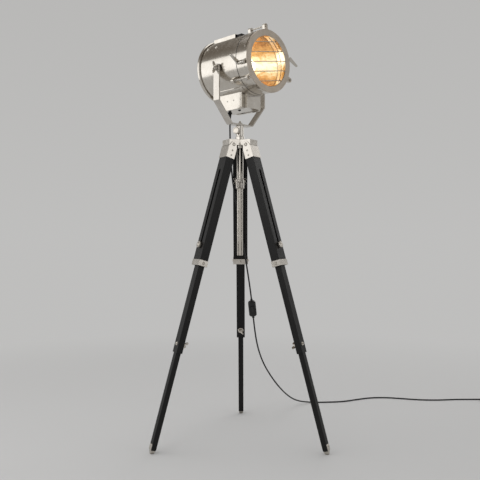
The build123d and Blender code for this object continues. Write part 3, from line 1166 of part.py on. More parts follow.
def head_pieces():
    makers = {"drum": make_drum, "rear_cap": make_rear_cap, "hood": make_hood, "bezel": make_bezel,
              "glass": make_glass, "grille": make_grille, "reflector": make_reflector,
              "lamp_holder": make_lamp_holder, "bulb": make_bulb, "vent_cover": make_vent_cover,
              "power_box": make_power_box, "box_covers": make_box_covers, "head_screws": make_head_screws,
              "trunnions": make_trunnions, "tie_rods": make_tie_rods}
    pieces = {name: HEAD * maker() for name, maker in makers.items()}
    for side in LEVER_ANGLES:
        pieces[f"clamp_lever_{side}"] = HEAD * make_clamp_lever(side)
    return pieces


def cord_pieces():
    base, cover, rocker = make_switch()
    return {"cord_gland": make_gland(), "cord_hang": cord_tube("hang", HANG_ROUTE), "switch_base": base,
            "switch_cover": cover, "switch_rocker": rocker, "cord_floor": cord_tube("floor", FLOOR_ROUTE),
            "cord_coil": make_coil(), "mains_plug": make_plug()}


pieces = {**tripod_pieces(), **column_pieces(), **head_pieces(), **cord_pieces()}
shoes = Compound(children=[pieces[f"{name}_leg_shoe"] for name in LEG_NAMES]).bounding_box()
to_origin = Pos(-(shoes.min.X + shoes.max.X) / 2, -(shoes.min.Y + shoes.max.Y) / 2, 0)
print("column axis at", to_origin.position)
os.makedirs("parts", exist_ok=True)
for name, shape in pieces.items():
    placed = to_origin * shape
    solids = placed.solids()
    export_step(solids[0] if len(solids) == 1 else Compound(children=solids), f"parts/{name}.step")
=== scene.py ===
import json
import math

import bpy
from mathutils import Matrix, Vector
from mathutils.geometry import convex_hull_2d


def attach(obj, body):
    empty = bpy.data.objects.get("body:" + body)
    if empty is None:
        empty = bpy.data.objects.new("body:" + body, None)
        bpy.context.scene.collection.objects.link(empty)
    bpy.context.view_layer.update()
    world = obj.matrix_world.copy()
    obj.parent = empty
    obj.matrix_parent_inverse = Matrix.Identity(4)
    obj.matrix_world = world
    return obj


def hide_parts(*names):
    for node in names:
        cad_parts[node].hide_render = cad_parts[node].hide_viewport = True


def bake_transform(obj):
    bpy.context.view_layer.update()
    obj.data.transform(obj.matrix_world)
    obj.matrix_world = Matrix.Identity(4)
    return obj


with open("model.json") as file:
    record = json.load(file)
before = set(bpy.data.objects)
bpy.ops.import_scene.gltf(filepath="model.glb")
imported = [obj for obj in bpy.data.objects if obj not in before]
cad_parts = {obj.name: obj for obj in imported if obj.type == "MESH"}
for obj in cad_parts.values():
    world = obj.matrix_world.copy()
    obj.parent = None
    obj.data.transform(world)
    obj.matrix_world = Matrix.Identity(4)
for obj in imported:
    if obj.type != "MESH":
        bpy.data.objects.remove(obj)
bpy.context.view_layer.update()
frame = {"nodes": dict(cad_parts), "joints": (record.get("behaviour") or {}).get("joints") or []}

JOINTS = {joint["name"]: joint for joint in frame["joints"]}
AXIS = Vector(JOINTS["yoke_pan"]["pos_m"])
NODES = frame["nodes"]
LEGS = ("back", "left", "right")
MM = 0.001


def at(x, y, z):
    """A point given in millimetres about the column axis, in the row frame."""
    return Vector((AXIS.x + x * MM, AXIS.y + y * MM, z * MM))


def direction(name):
    return Vector(JOINTS[name]["axis"]).normalized()


def new_object(name, data):
    made = bpy.data.objects.new(name, data)
    bpy.context.scene.collection.objects.link(made)
    return made


# Camera: distances in metres
CAMERA_AZIMUTH = math.radians(43.94)
CAMERA_DISTANCE = 2.545
CAMERA_HEIGHT = 0.7886
CAMERA_PITCH = 0.0083
CAMERA_LENS = 49.44
SENSOR_WIDTH = 36.0
CLIP_START = 0.05
CLIP_END = 200.0
VIEW = Vector((math.sin(CAMERA_AZIMUTH), math.cos(CAMERA_AZIMUTH), 0))
RIGHT = Vector((VIEW.y, -VIEW.x, 0))


def add_camera():
    data = bpy.data.cameras.new("camera")
    data.sensor_fit = "HORIZONTAL"
    data.sensor_width = SENSOR_WIDTH
    data.lens = CAMERA_LENS
    data.clip_start = CLIP_START
    data.clip_end = CLIP_END
    camera = new_object("camera", data)
    camera.location = Vector((AXIS.x, AXIS.y, CAMERA_HEIGHT)) - VIEW * CAMERA_DISTANCE
    look = VIEW * math.cos(CAMERA_PITCH) - Vector((0, 0, math.sin(CAMERA_PITCH)))
    camera.rotation_euler = look.to_track_quat("-Z", "Y").to_euler()
    bpy.context.scene.camera = camera


add_camera()


# Small mesh helpers; a part is a (vertices, faces) pair
LATHE_SIDES = 40
SHARP_EDGE = math.radians(38)


def mesh_object(name, vertices, faces, smooth=True):
    mesh = bpy.data.meshes.new(name)
    mesh.from_pydata([tuple(vertex) for vertex in vertices], [], faces)
    mesh.validate()
    mesh.polygons.foreach_set("use_smooth", [smooth] * len(mesh.polygons))
    return new_object(name, mesh)


def taken_apart(made):
    """The points and faces that a curve or an object with modifiers gives; the object itself goes."""
    graph = bpy.context.evaluated_depsgraph_get()
    mesh = bpy.data.meshes.new_from_object(made.evaluated_get(graph))
    vertices = [vertex.co.copy() for vertex in mesh.vertices]
    faces = [list(polygon.vertices) for polygon in mesh.polygons]
    bpy.data.objects.remove(made)
    bpy.data.meshes.remove(mesh)
    return vertices, faces


def solid(name, parts):
    """One object from several parts, shaded smooth except over sharp edges."""
    vertices, faces = [], []
    for points, polygons in parts:
        start = len(vertices)
        vertices += points
        faces += [[index + start for index in polygon] for polygon in polygons]
    made = mesh_object(name, vertices, faces)
    made.data.set_sharp_from_angle(angle=SHARP_EDGE)
    return made


def dressed(name, parts, body, slot, *nodes):
    """A solid that rides on a body and stands for the nodes that are named; the slot argument is not used."""
    made = solid(name, parts)
    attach(made, body)
    if nodes:
        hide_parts(*nodes)
    return made


def ringed(rings, endless=False):
    """A closed part through rings of points; its ends are capped, or meet where it is endless."""
    count = len(rings[0])
    vertices = [point for ring in rings for point in ring]
    total = len(vertices)
    last = total - count
    faces = [] if endless else [list(range(count - 1, -1, -1)), list(range(last, total))]
    for low in range(0, total if endless else last, count):
        high = (low + count) % total
        for number in range(count):
            after = (number + 1) % count
            faces.append([low + number, low + after, high + after, high + number])
    return vertices, faces


def lathe(profile, sides=LATHE_SIDES):
    """A part turned about Z from (radius, height) pairs in millimetres; a radius may depend on the angle."""
    turns = [2 * math.pi * number / sides for number in range(sides)]
    vertices, faces, rings = [], [], []
    for radius, height in profile:
        start = len(vertices)
        for turn in turns if radius else turns[:1]:
            reach = (radius(turn) if callable(radius) else radius) * MM
            vertices.append(Vector((reach * math.cos(turn), reach * math.sin(turn), height * MM)))
        rings.append(range(start, len(vertices)))
    for low, high in zip(rings, rings[1:]):
        for number in range(sides):
            after = (number + 1) % sides
            quad = [low[number % len(low)], low[after % len(low)],
                    high[after % len(high)], high[number % len(high)]]
            face = list(dict.fromkeys(quad))
            if len(face) > 2:
                faces.append(face)
    return vertices, faces


def placed(part, origin, out, span):
    """Moves a part so that its Z lies along out and its X along span."""
    z = out.normalized()
    x = (span - z * span.dot(z)).normalized()
    y = z.cross(x)
    vertices, faces = part
    return [origin + x * p.x + y * p.y + z * p.z for p in vertices], faces


def prism(outline, thickness):
    """A plate of an (x, z) outline in millimetres, centred on y = 0."""
    half = thickness / 2
    return ringed([[Vector((x, y, z)) * MM for x, z in outline] for y in (half, -half)])


# Cords: the route's points in millimetres about the column axis
CORD_RADIUS = 3.1 * MM
CORD_REST = 3.3
GLAND_TIP = 1240.0
HANG_ROUTE = [(0.0, 57.0, GLAND_TIP), (0.0, 57.0, 1060.0), (45.8, 62.5, 886.0), (125.225, 72.025, 584.25),
              (137.6, 75.7, 525.0)]
FALL_ROUTE = [(154.1, 80.6, 446.0), (168.62, 84.912, 376.48), (196.0, 92.0, 304.0), (240.0, 103.0, 238.0),
              (294.0, 114.0, 180.0), (352.0, 127.0, 128.0), (414.0, 143.0, 83.0), (478.0, 160.0, 45.0),
              (544.0, 172.0, 17.0)]
FLOOR_PLACES = ((608.0, 156.0), (662.0, 107.0), (728.0, 58.0), (806.0, 38.0), (884.0, 12.0), (943.0, -40.0),
                (981.0, -109.0), (1020.0, -178.0), (1074.0, -236.0), (1137.0, -279.0), (1196.0, -333.0),
                (1253.0, -388.0))
FLOOR_ROUTE = FALL_ROUTE + [(x, y, CORD_REST) for x, y in FLOOR_PLACES]
COIL_RADIUS = 39.0
COIL_PITCH = 6.8
COIL_LAYER = 6.8
COIL_LAYER_TURNS = 1.25
COIL_CLIMB_TURNS = 0.5
COIL_TAIL = 36.0
COIL_LEAD_IN = 6.2
COIL_POINTS_PER_TURN = 24
YOKE_BREAK = 1196.0
COLUMN_BREAK = 1153.0
STAND_BREAK = 1090.0
LEG_BREAK = 800.0
HANG_BREAKS = (YOKE_BREAK, COLUMN_BREAK, STAND_BREAK, LEG_BREAK)
# Each piece of the hanging cord, with two bodies and a height to go from and one to go to
HANG_PIECES = (
    ("cord_top", ("head", "yoke"), (GLAND_TIP, YOKE_BREAK)),
    ("cord_neck", ("yoke", "column"), (YOKE_BREAK, COLUMN_BREAK)),
    ("cord_rise", ("column", "stand"), (COLUMN_BREAK, STAND_BREAK)),
    ("cord_slack", ("stand", "back_leg"), (1080.0, 1000.0)),
    ("cord_fall", ("back_leg", "stand"), (690.0, 550.0)),
)
SPLINE_ORDER = 3
HANG_RESOLUTION = 96
FLOOR_RESOLUTION = 10
CORD_SIDES = 20
CORD_BEVEL_STEPS = 5
SAME_POINT = 1e-6      # cut points closer than this, in metres, are one


def coil_sample(turn, centre, start_angle):
    """A point of the coil: it winds inwards on the floor, climbs, and winds outwards on top."""
    climb = max(0.0, min(1.0, (turn - COIL_LAYER_TURNS) / COIL_CLIMB_TURNS))
    inward = min(turn, COIL_LAYER_TURNS)
    outward = max(0.0, turn - COIL_LAYER_TURNS - COIL_CLIMB_TURNS)
    dip = COIL_PITCH * COIL_CLIMB_TURNS * climb * (1 - climb)
    radius = COIL_RADIUS - COIL_PITCH * (inward - outward) - dip
    angle = start_angle - 2 * math.pi * turn
    height = CORD_REST + COIL_LAYER * climb ** 2 * (3 - 2 * climb)
    return (centre[0] + radius * math.cos(angle), centre[1] + radius * math.sin(angle), height)


def coil_frame():
    """Where the coil starts: the cord's heading, the start, the centre and the angle about it."""
    entry, before = Vector(FLOOR_ROUTE[-1]), Vector(FLOOR_ROUTE[-2])
    heading = (entry - before).normalized()
    inwards = Vector((heading.y, -heading.x, 0))
    start = entry + heading * COIL_LEAD_IN
    centre = start + inwards * COIL_RADIUS
    return heading, start, centre, math.atan2(-inwards.y, -inwards.x)


def coil_points():
    heading, start, centre, start_angle = coil_frame()
    turns = 2 * COIL_LAYER_TURNS + COIL_CLIMB_TURNS
    count = round(turns * COIL_POINTS_PER_TURN)
    points = [coil_sample(number / COIL_POINTS_PER_TURN, centre, start_angle) for number in range(count + 1)]
    end = Vector(points[-1]) + heading * COIL_TAIL
    return points + [tuple(end)]


LEAD_ROUTE = FLOOR_ROUTE + coil_points()


def spline_curve(name, points, resolution):
    curve = bpy.data.curves.new(name, "CURVE")
    curve.dimensions = "3D"
    curve.resolution_u = resolution
    spline = curve.splines.new("NURBS")
    spline.points.add(len(points) - 1)
    for place, point in zip(spline.points, points):
        place.co = (*at(*point), 1.0)
        place.radius = CORD_RADIUS
    spline.order_u = SPLINE_ORDER
    spline.use_endpoint_u = True
    return new_object(name, curve)


def spline_points(points, resolution):
    """The points of a route's own spline."""
    return taken_apart(spline_curve("guide", points, resolution))[0]


def tube(name, line, radius):
    """A mesh tube along a line, with closed ends."""
    turns = [2 * math.pi * step / CORD_SIDES for step in range(CORD_SIDES)]
    rings = []
    side = None
    for number, point in enumerate(line):
        ahead = line[min(number + 1, len(line) - 1)] - line[max(number - 1, 0)]
        ahead.normalize()
        if side is None:
            side = ahead.orthogonal()
        side = (side - ahead * side.dot(ahead)).normalized()
        other = ahead.cross(side)
        rings.append([point + (side * math.cos(turn) + other * math.sin(turn)) * radius for turn in turns])
    return mesh_object(name, *ringed(rings))


def split_line(line, heights):
    """Cuts a falling line at the given heights."""
    pieces, current, todo = [], [line[0]], list(heights)
    for before, after in zip(line, line[1:]):
        while todo and before.z > todo[0] * MM >= after.z:
            share = (before.z - todo[0] * MM) / (before.z - after.z)
            cut = before.lerp(after, share)
            pieces.append(current + [cut])
            current = [cut]
            todo.pop(0)
        if (after - current[-1]).length > SAME_POINT:
            current.append(after)
    return pieces + [current]


def add_hanging_cord():
    lines = split_line(spline_points(HANG_ROUTE, HANG_RESOLUTION), HANG_BREAKS)
    made = []
    for (name, pair, heights), line in zip(HANG_PIECES, lines):
        piece = tube(name, line, CORD_RADIUS)
        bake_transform(piece)
        made.append(piece)
    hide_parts("cord_hang")
    return made


def add_floor_cord():
    lead = spline_curve("cord_lead", LEAD_ROUTE, FLOOR_RESOLUTION)
    lead.data.bevel_depth = 1.0          # a factor on the radius of the route's points
    lead.data.bevel_resolution = CORD_BEVEL_STEPS
    lead.data.use_fill_caps = True
    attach(lead, "stand")
    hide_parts("cord_floor", "cord_coil")
    return lead


# Strip that goes once round the coil's turns
STRIP_TURN = 0.62
STRIP_WIDTH = 9.0
STRIP_THICKNESS = 0.5
STRIP_REACH_IN = 13.5
STRIP_REACH_OUT = 4.6
STRIP_RISE = 3.7
STRIP_INNER = COIL_RADIUS - STRIP_REACH_IN
STRIP_OUTER = COIL_RADIUS + STRIP_REACH_OUT
STRIP_LOW = 0.06
STRIP_HIGH = CORD_REST + COIL_LAYER + STRIP_RISE
STRIP_CORNER = 4.0
STRIP_FOOT = 0.8
STRIP_STEPS = 6


def strip_loop():
    """The strip's outer line round the turns, outwards along X and up along Z."""
    near, far = STRIP_INNER + STRIP_CORNER, STRIP_OUTER - STRIP_CORNER
    top, foot = STRIP_HIGH - STRIP_CORNER, STRIP_LOW + STRIP_FOOT
    loop = []
    for x, z, rise, first in ((far, top, STRIP_CORNER, 0), (near, top, STRIP_CORNER, 90),
                              (near, foot, STRIP_FOOT, 180), (far, foot, STRIP_FOOT, 270)):
        for step in range(STRIP_STEPS + 1):
            turn = math.radians(first + 90 * step / STRIP_STEPS)
            loop.append(Vector((x + STRIP_CORNER * math.cos(turn), 0, z + rise * math.sin(turn))))
    return loop


def add_tie():
    centre, start_angle = coil_frame()[2:]
    angle = start_angle - 2 * math.pi * STRIP_TURN
    outward = Vector((math.cos(angle), math.sin(angle), 0))
    along = Vector((-outward.y, outward.x, 0)) * STRIP_WIDTH / 2
    loop = strip_loop()
    middle = sum(loop, Vector()) / len(loop)
    rings = []
    for outer in loop:
        inner = outer + (middle - outer).normalized() * STRIP_THICKNESS
        ring = []
        for point, side in ((outer, -1), (inner, -1), (inner, 1), (outer, 1)):
            place = centre + outward * point.x + along * side
            ring.append(at(place.x, place.y, max(point.z, STRIP_LOW)))
        rings.append(ring)
    tie = mesh_object("cord_tie", *ringed(rings, endless=True))
    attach(tie, "stand")
    return tie


def declare_floor_cord():
    """Works out the points of the cord's route on the floor, and does nothing with them."""
    line = spline_points(LEAD_ROUTE, FLOOR_RESOLUTION)


cord_pieces = add_hanging_cord()
lead = add_floor_cord()
tie = add_tie()
declare_floor_cord()


# Screws, nuts and knobs: sizes in millimetres, as in the part
HEAD_HEIGHT = 1428.0
TILT_HEIGHT = 1410.0
FRONT = Vector((0, -1, 0))
UP = Vector((0, 0, 1))
SLOT_HALF_SHARE = 0.13
SLOT_FLOOR_SHARE = 0.35
ROWS_BESIDE_SLOT = 7
COLUMNS = 18
ROW_REACH_SHARE = 0.99
FIRST_SLOT_ANGLE = 20.0
SLOT_ANGLE_STEP = 47.0
NUT_SIDES = 48
NUT_CHAMFER = 0.7
NUT_CIRCLE_SHARE = 0.9
DOME_STEPS = 6
COVER = 0.2            # how far a screw head stands over the dome that it covers


def head_at(x, y, z):
    """A point of the head, whose own Z runs to the front and Y up."""
    return at(x, -z, HEAD_HEIGHT + y)


def round_head(angle):
    """The outward direction at an angle about the head's axis, in degrees."""
    turn = math.radians(angle)
    return Vector((math.cos(turn), 0, math.sin(turn)))


def slotted_head(radius, height):
    """A domed screw head about Z with a straight slot along X."""
    half_slot = radius * SLOT_HALF_SHARE
    ball = (radius ** 2 + height ** 2) / (2 * height)
    reach = radius * ROW_REACH_SHARE
    pitch = (reach - half_slot) / ROWS_BESIDE_SLOT
    beside = [half_slot + pitch * step for step in range(ROWS_BESIDE_SLOT + 1)]
    lines = [(-y, False) for y in reversed(beside)] + [(-half_slot, True), (half_slot, True)]
    lines += [(y, False) for y in beside]
    vertices, faces = [], []
    for y, sunk in lines:
        half = math.sqrt(radius ** 2 - y ** 2)
        for column in range(COLUMNS + 1):
            x = half * (2 * column / COLUMNS - 1)
            z = math.sqrt(max(ball ** 2 - x * x - y * y, 0)) - ball + height
            if sunk:
                z = min(z, height * SLOT_FLOOR_SHARE)
            vertices.append(Vector((x, y, max(z, 0))) * MM)
    for line in range(len(lines) - 1):
        for column in range(COLUMNS):
            low, high = line * (COLUMNS + 1) + column, (line + 1) * (COLUMNS + 1) + column
            faces.append([low, low + 1, high + 1, high])
    return vertices, faces


def hexagon(corner_radius):
    """The reach of a hexagon's outline at an angle."""
    sector = math.pi / 3
    flat = corner_radius * math.cos(sector / 2)
    return lambda angle: flat / math.cos(angle % sector - sector / 2)


def hex_nut(corner_radius, start, end):
    """Profile of a nut with both faces chamfered."""
    side = hexagon(corner_radius)

    def rim(angle):
        return min(side(angle), corner_radius * NUT_CIRCLE_SHARE)

    return [(0, start), (rim, start), (side, start + NUT_CHAMFER),
            (side, end - NUT_CHAMFER), (rim, end), (0, end)]


def threaded(radius, depth, pitch, start, end):
    """Profile of a threaded rod."""
    turns = round((end - start) / pitch)
    profile = [(0, start)]
    for turn in range(turns):
        base = start + turn * (end - start) / turns
        profile += [(radius - depth, base), (radius, base + pitch / 2)]
    return profile + [(radius - depth, end), (0, end)]


def dome_profile(radius, height, base, steps=DOME_STEPS):
    """Profile of a dome from its rim to its top."""
    ball = (radius ** 2 + height ** 2) / (2 * height)
    reaches = [radius * (1 - step / steps) for step in range(steps + 1)]
    return [(reach, base + math.sqrt(ball ** 2 - reach ** 2) - ball + height) for reach in reaches]


# Head screws: covers, saddle, drum and hood
COVER_FACE = 50.0
COVER_SCREW_LEVEL = -132.0
COVER_SCREW_PLACES = (-52.5, -17.5, 17.5, 52.5)
SMALL_SCREW = (2.6, 1.6)
SADDLE_SCREW = (3.5, 2.2)
SADDLE_ANGLE = 32.15
SADDLE_RADIUS = 116.5
SADDLE_PLACES = (-57.0, 0.0, 57.0)
SHELL_RADIUS = 114.5
DRUM_SCREW = (5.5, 4.0)
DRUM_ANGLES = (142.0, 38.0)
DRUM_PLACES = (-85.0, -36.0)
HOOD_ANGLES = (161.0, 199.0, 19.0, 341.0)
HOOD_PLACE = 137.0


def slot_way(out, number):
    """A slot direction square to out; each screw stops at its own angle."""
    turn = math.radians(FIRST_SLOT_ANGLE + SLOT_ANGLE_STEP * number)
    across = out.orthogonal().normalized()
    return across * math.cos(turn) + out.cross(across) * math.sin(turn)


def add_head_screws():
    seats = []
    for side in (-1, 1):
        for place in COVER_SCREW_PLACES:
            spot = head_at(side * COVER_FACE, COVER_SCREW_LEVEL, place)
            seats.append((spot, Vector((side, 0, 0)), SMALL_SCREW))
        for place in SADDLE_PLACES:
            out = round_head(-90 + side * SADDLE_ANGLE)
            seats.append((head_at(0, 0, place) + out * SADDLE_RADIUS * MM, out, SADDLE_SCREW))
    shell = [(angle, place, DRUM_SCREW) for angle in DRUM_ANGLES for place in DRUM_PLACES]
    shell += [(angle, HOOD_PLACE, SMALL_SCREW) for angle in HOOD_ANGLES]
    for angle, place, size in shell:
        out = round_head(angle)
        seats.append((head_at(0, 0, place) + out * SHELL_RADIUS * MM, out, size))
    parts = [placed(slotted_head(*size), spot, out, slot_way(out, number))
             for number, (spot, out, size) in enumerate(seats)]
    return dressed("head_screw_heads", parts, "head", "nickel_fittings", "head_screws")


# Legs: a point in a leg's frame has the hinge at its origin, X outwards and Z up the leg
EAR_OUT = 30.5
BRACKET_SCREW = (3.2, 1.6)
BRACKET_SCREW_DROPS = (24.3, 43.2)
BAND_OUT = 30.1
BAND_IN = -18.1
BAND_MIDDLE = 466.0
BAND_BOLT = (5.0, 4.5)
BAND_SCREW = (4.0, 5.5)


class Leg:
    """A leg's hinge and directions, as the joints give them."""

    def __init__(self, name):
        self.name = name
        self.hinge = Vector(JOINTS[f"{name}_leg_fold"]["pos_m"])
        self.up = direction(f"{name}_leg_middle_slide")
        self.across = direction(f"{name}_leg_fold")
        self.out = self.across.cross(self.up)

    def at(self, x, y, z):
        return self.hinge + (self.out * x + self.across * y + self.up * z) * MM


LEG_FRAMES = [Leg(name) for name in LEGS]


def over(size):
    """The size of a screw head that covers a plain one of the given size."""
    return (size[0] + COVER, size[1] + COVER)


def add_leg_screws(leg):
    parts = []
    for side in (-1, 1):
        out = leg.across * side
        for number, drop in enumerate(BRACKET_SCREW_DROPS):
            spot = leg.at(0, side * EAR_OUT, -drop)
            parts.append(placed(slotted_head(*over(BRACKET_SCREW)), spot, out, slot_way(out, number)))
        spot = leg.at(0, side * BAND_OUT, -BAND_MIDDLE)
        parts.append(placed(slotted_head(*over(BAND_BOLT)), spot, out, leg.up))
    spot = leg.at(BAND_IN, 0, -BAND_MIDDLE)
    parts.append(placed(slotted_head(*over(BAND_SCREW)), spot, -leg.out, leg.across))
    return dressed(f"{leg.name}_leg_screws", parts, f"{leg.name}_leg", "nickel_fittings")


# Hinge bolts: a button head with a hexagon socket at each end of a shank
HINGE_BOLT_OUT = 30.65
SHANK_RADIUS = 4.0
HINGE_SHANK = [(0, -HINGE_BOLT_OUT), (SHANK_RADIUS, -HINGE_BOLT_OUT),
               (SHANK_RADIUS, HINGE_BOLT_OUT), (0, HINGE_BOLT_OUT)]
SOCKET_CORNER = 3.3
SOCKET = hexagon(SOCKET_CORNER)
SOCKET_HEAD = [(6.5, 0), (6.5, 0.7), (6.2, 1.5), (5.5, 2.4), (4.5, 3.0), (3.7, 3.2),
               (SOCKET, 3.1), (SOCKET, 1.2), (0, 1.0)]


def add_hinge_bolts():
    parts = []
    for leg in LEG_FRAMES:
        parts.append(placed(lathe(HINGE_SHANK), leg.hinge, leg.across, leg.out))
        for side in (-1, 1):
            spot = leg.at(0, side * HINGE_BOLT_OUT, 0)
            parts.append(placed(lathe(SOCKET_HEAD, NUT_SIDES), spot, leg.across * side, leg.out))
    return dressed("hinge_bolt_heads", parts, "stand", "nickel_fittings", "hinge_bolts")


# Fluted knobs: profiles of (radius, place along the knob's axis)
KNOB_SIDES = 144
KNOB_FLUTES = 12
KNOB_FLUTE = 1.4
FLUTE_SHARPNESS = 5
KNOB_DROP = 400.0
KNOB_RADIUS = 12.0
KNOB_CHAMFER = 1.0
KNOB_FACE = 27.8
KNOB_BUTTON = (6.2, 2.5)
PAN_KNOB_HEIGHT = 1186.0
PAN_KNOB_RADIUS = 13.5
PAN_KNOB_CHAMFER = 1.2


def fluted(radius):
    """A knob's round outline with hollows along it."""
    return lambda angle: radius - KNOB_FLUTE * math.cos(KNOB_FLUTES * angle / 2) ** (2 * FLUTE_SHARPNESS)


def add_leg_knob(leg):
    edge, rim = fluted(KNOB_RADIUS - KNOB_CHAMFER), fluted(KNOB_RADIUS)
    profile = [(0, 1.2), (4.0, 1.2), (4.0, 16.8), (edge, 16.8), (rim, 17.8), (rim, 26.6),
               (edge, KNOB_FACE), (7.0, KNOB_FACE), *dome_profile(*KNOB_BUTTON, KNOB_FACE)]
    part = placed(lathe(profile, KNOB_SIDES), leg.at(0, 0, -KNOB_DROP), leg.out, leg.up)
    name = f"{leg.name}_leg_knob"
    return dressed(f"{name}_grip", [part], name, "nickel_fittings", name)


def add_pan_knob():
    edge, rim = fluted(PAN_KNOB_RADIUS - PAN_KNOB_CHAMFER), fluted(PAN_KNOB_RADIUS)
    profile = [(0, 7.05), (4.0, 7.05), (4.0, 14.8), (7.0, 14.8), (7.0, 21.6), (8.4, 23.8), (edge, 23.8),
               (rim, 25.0), (rim, 31.5), (edge, 32.8), (9.2, 32.8), (8.4, 32.1), (0, 32.0)]
    part = placed(lathe(profile, KNOB_SIDES), at(0, 0, PAN_KNOB_HEIGHT), direction("pan_knob_turn"), UP)
    return dressed("pan_knob_grip", [part], "pan_knob", "nickel_fittings", "pan_knob")


# Pan bolt: heights over the floor
PAN_SHANK = [(0, 1173.3), (7.0, 1173.3), (7.0, 1212.25), (11.6, 1212.25), (12.0, 1212.6), (12.0, 1213.9),
             (11.6, 1214.25), (0, 1214.25)]
PAN_NUT_RADIUS = 8.5
PAN_NUT_ENDS = (1214.25, 1219.25)
PAN_THREAD = (4.0, 0.5, 1.25)        # radius, depth and pitch
PAN_THREAD_ENDS = (1219.0, 1225.2)


def add_pan_bolt():
    profiles = (PAN_SHANK, hex_nut(PAN_NUT_RADIUS, *PAN_NUT_ENDS), threaded(*PAN_THREAD, *PAN_THREAD_ENDS))
    parts = [placed(lathe(profile, NUT_SIDES), at(0, 0, 0), UP, RIGHT) for profile in profiles]
    return dressed("pan_bolt_nut", parts, "yoke", "nickel_fittings", "pan_bolt")


# Tie rods: places along the head's axis, forwards from the middle of the head
ROD_ANGLES = (96.5, 216.5, 336.5)
ROD_REACH = 128.0
ROD_THREAD = (2.6, 0.35, 1.0)
ROD_ENDS = (62.0, 157.0)
ROD_NUT_RADIUS = 4.6
ROD_NUT_STARTS = (62.0, 79.0, 137.0, 153.0)
ROD_NUT = 4.0


def add_tie_rods():
    profiles = [threaded(*ROD_THREAD, *ROD_ENDS)]
    profiles += [hex_nut(ROD_NUT_RADIUS, start, start + ROD_NUT) for start in ROD_NUT_STARTS]
    parts = []
    for angle in ROD_ANGLES:
        out = round_head(angle)
        spot = head_at(0, 0, 0) + out * ROD_REACH * MM
        parts += [placed(lathe(profile, NUT_SIDES), spot, FRONT, out) for profile in profiles]
    return dressed("tie_rod_nuts", parts, "head", "nickel_fittings", "tie_rods")


# Cast wing screws: a size is the hub's radius and length, the span of the wings and the whole length
LEG_WING = (6.5, 10.0, 32.0, 19.0)
COLLAR_WING = (5.0, 6.0, 25.0, 13.0)
TILT_WING = (9.0, 13.0, 44.0, 19.0)
COLLAR_HEIGHT = 996.0
COLLAR_WING_OUT = 14.9
TILT_WING_OUT = 123.55
CLAMP_DROP = 773.5
CLAMP_INNER = -14.1
CLAMP_OUTER = 10.5
CLAMP_HEAD = (7.0, 5.0)
CLAMP_WASHER = [(0, 0), (11.0, 0), (11.5, 0.4), (11.5, 1.2), (11.0, 1.6), (0, 1.6)]
WING_THICKNESS = 3.4
CIRCLE_POINTS = 28
WING_VOXEL_SHARE = 0.017
WING_SMOOTHING = 5
WING_SMOOTH_SHARE = 0.5
HUB_STRAIGHT_SHARE = 0.4
HUB_TOP_SHARE = 0.86


def circle_points(x, z, radius):
    turns = [2 * math.pi * number / CIRCLE_POINTS for number in range(CIRCLE_POINTS)]
    return [(x + radius * math.cos(turn), z + radius * math.sin(turn)) for turn in turns]


def cast_wing(hub_radius, hub_length, span, length):
    """A wing screw's head about Z with its wings along X, melted together as a casting."""
    tip = (length - hub_length) / 2 + hub_radius / 4
    hub = [(0, 0), (hub_radius, 0), (hub_radius, hub_length * HUB_STRAIGHT_SHARE),
           (hub_radius * HUB_TOP_SHARE, hub_length), (0, hub_length)]
    parts = [lathe(hub, NUT_SIDES)]
    for side in (-1, 1):
        root = circle_points(side * hub_radius / 2, hub_length / 2, hub_length / 2 - COVER)
        end = circle_points(side * (span / 2 - tip), length - tip, tip)
        points = [Vector(point) for point in root + end]
        parts.append(prism([points[index] for index in convex_hull_2d(points)], WING_THICKNESS))
    made = solid("wing", parts)
    remesh = made.modifiers.new("melt", "REMESH")
    remesh.mode = "VOXEL"
    remesh.voxel_size = span * WING_VOXEL_SHARE * MM
    smooth = made.modifiers.new("cast", "SMOOTH")
    smooth.factor = WING_SMOOTH_SHARE
    smooth.iterations = WING_SMOOTHING
    return taken_apart(made)


def add_wing(name, parts):
    return dressed(f"{name}_cast", parts, name, "nickel_fittings", name)


def add_wings():
    made = []
    leg_wing = cast_wing(*LEG_WING)
    for leg in LEG_FRAMES:
        spot = leg.at(CLAMP_INNER, 0, -CLAMP_DROP)
        parts = [placed(leg_wing, spot, -leg.out, leg.across + leg.up),
                 placed(lathe(CLAMP_WASHER), spot, -leg.out, leg.across),
                 placed(slotted_head(*CLAMP_HEAD), leg.at(CLAMP_OUTER, 0, -CLAMP_DROP), leg.out, leg.across)]
        made.append(add_wing(f"{leg.name}_leg_wing", parts))
    for kind, size, height, reach in (("collar_wing", COLLAR_WING, COLLAR_HEIGHT, COLLAR_WING_OUT),
                                      ("tilt_wing", TILT_WING, TILT_HEIGHT, TILT_WING_OUT)):
        wing = cast_wing(*size)
        for name in (f"{kind}_left", f"{kind}_right"):
            out = direction(f"{name}_turn")
            spot = at(0, 0, height) + out * reach * MM
            made.append(add_wing(name, [placed(wing, spot, out, UP)]))
    return made


# Shoes: a nickel strap down the outer face and a tip, over the heel of the wood
LOWER_IN = -11.55
LOWER_OUT = 7.95
LOWER_HALF_WIDTH = 10.5
LOWER_END = 1140.03
HEEL_END = 1164.5
HEEL_ROUNDING = 5.0
HEEL_INSET = 2.2
TIP_RIM = 1.0
TIP_RIM_INSET = 1.5
TIP_LOW = 1177.5
TIP_MIDDLE = -1.8
TIP_HALF = 5.0
STRAP = 1.2
STRAP_SUNK = 0.6
STRAP_HALF_WIDTH = 9.8
STRAP_EDGE = 1.0
STRAP_SCREW = (2.6, 1.4)
STRAP_SCREW_DROP = 8.0


def leg_ring(leg, drop, near, far, half):
    """Four corners across a leg at a drop below its hinge."""
    return [leg.at(x, y, -drop) for x, y in ((far, half), (near, half), (near, -half), (far, -half))]


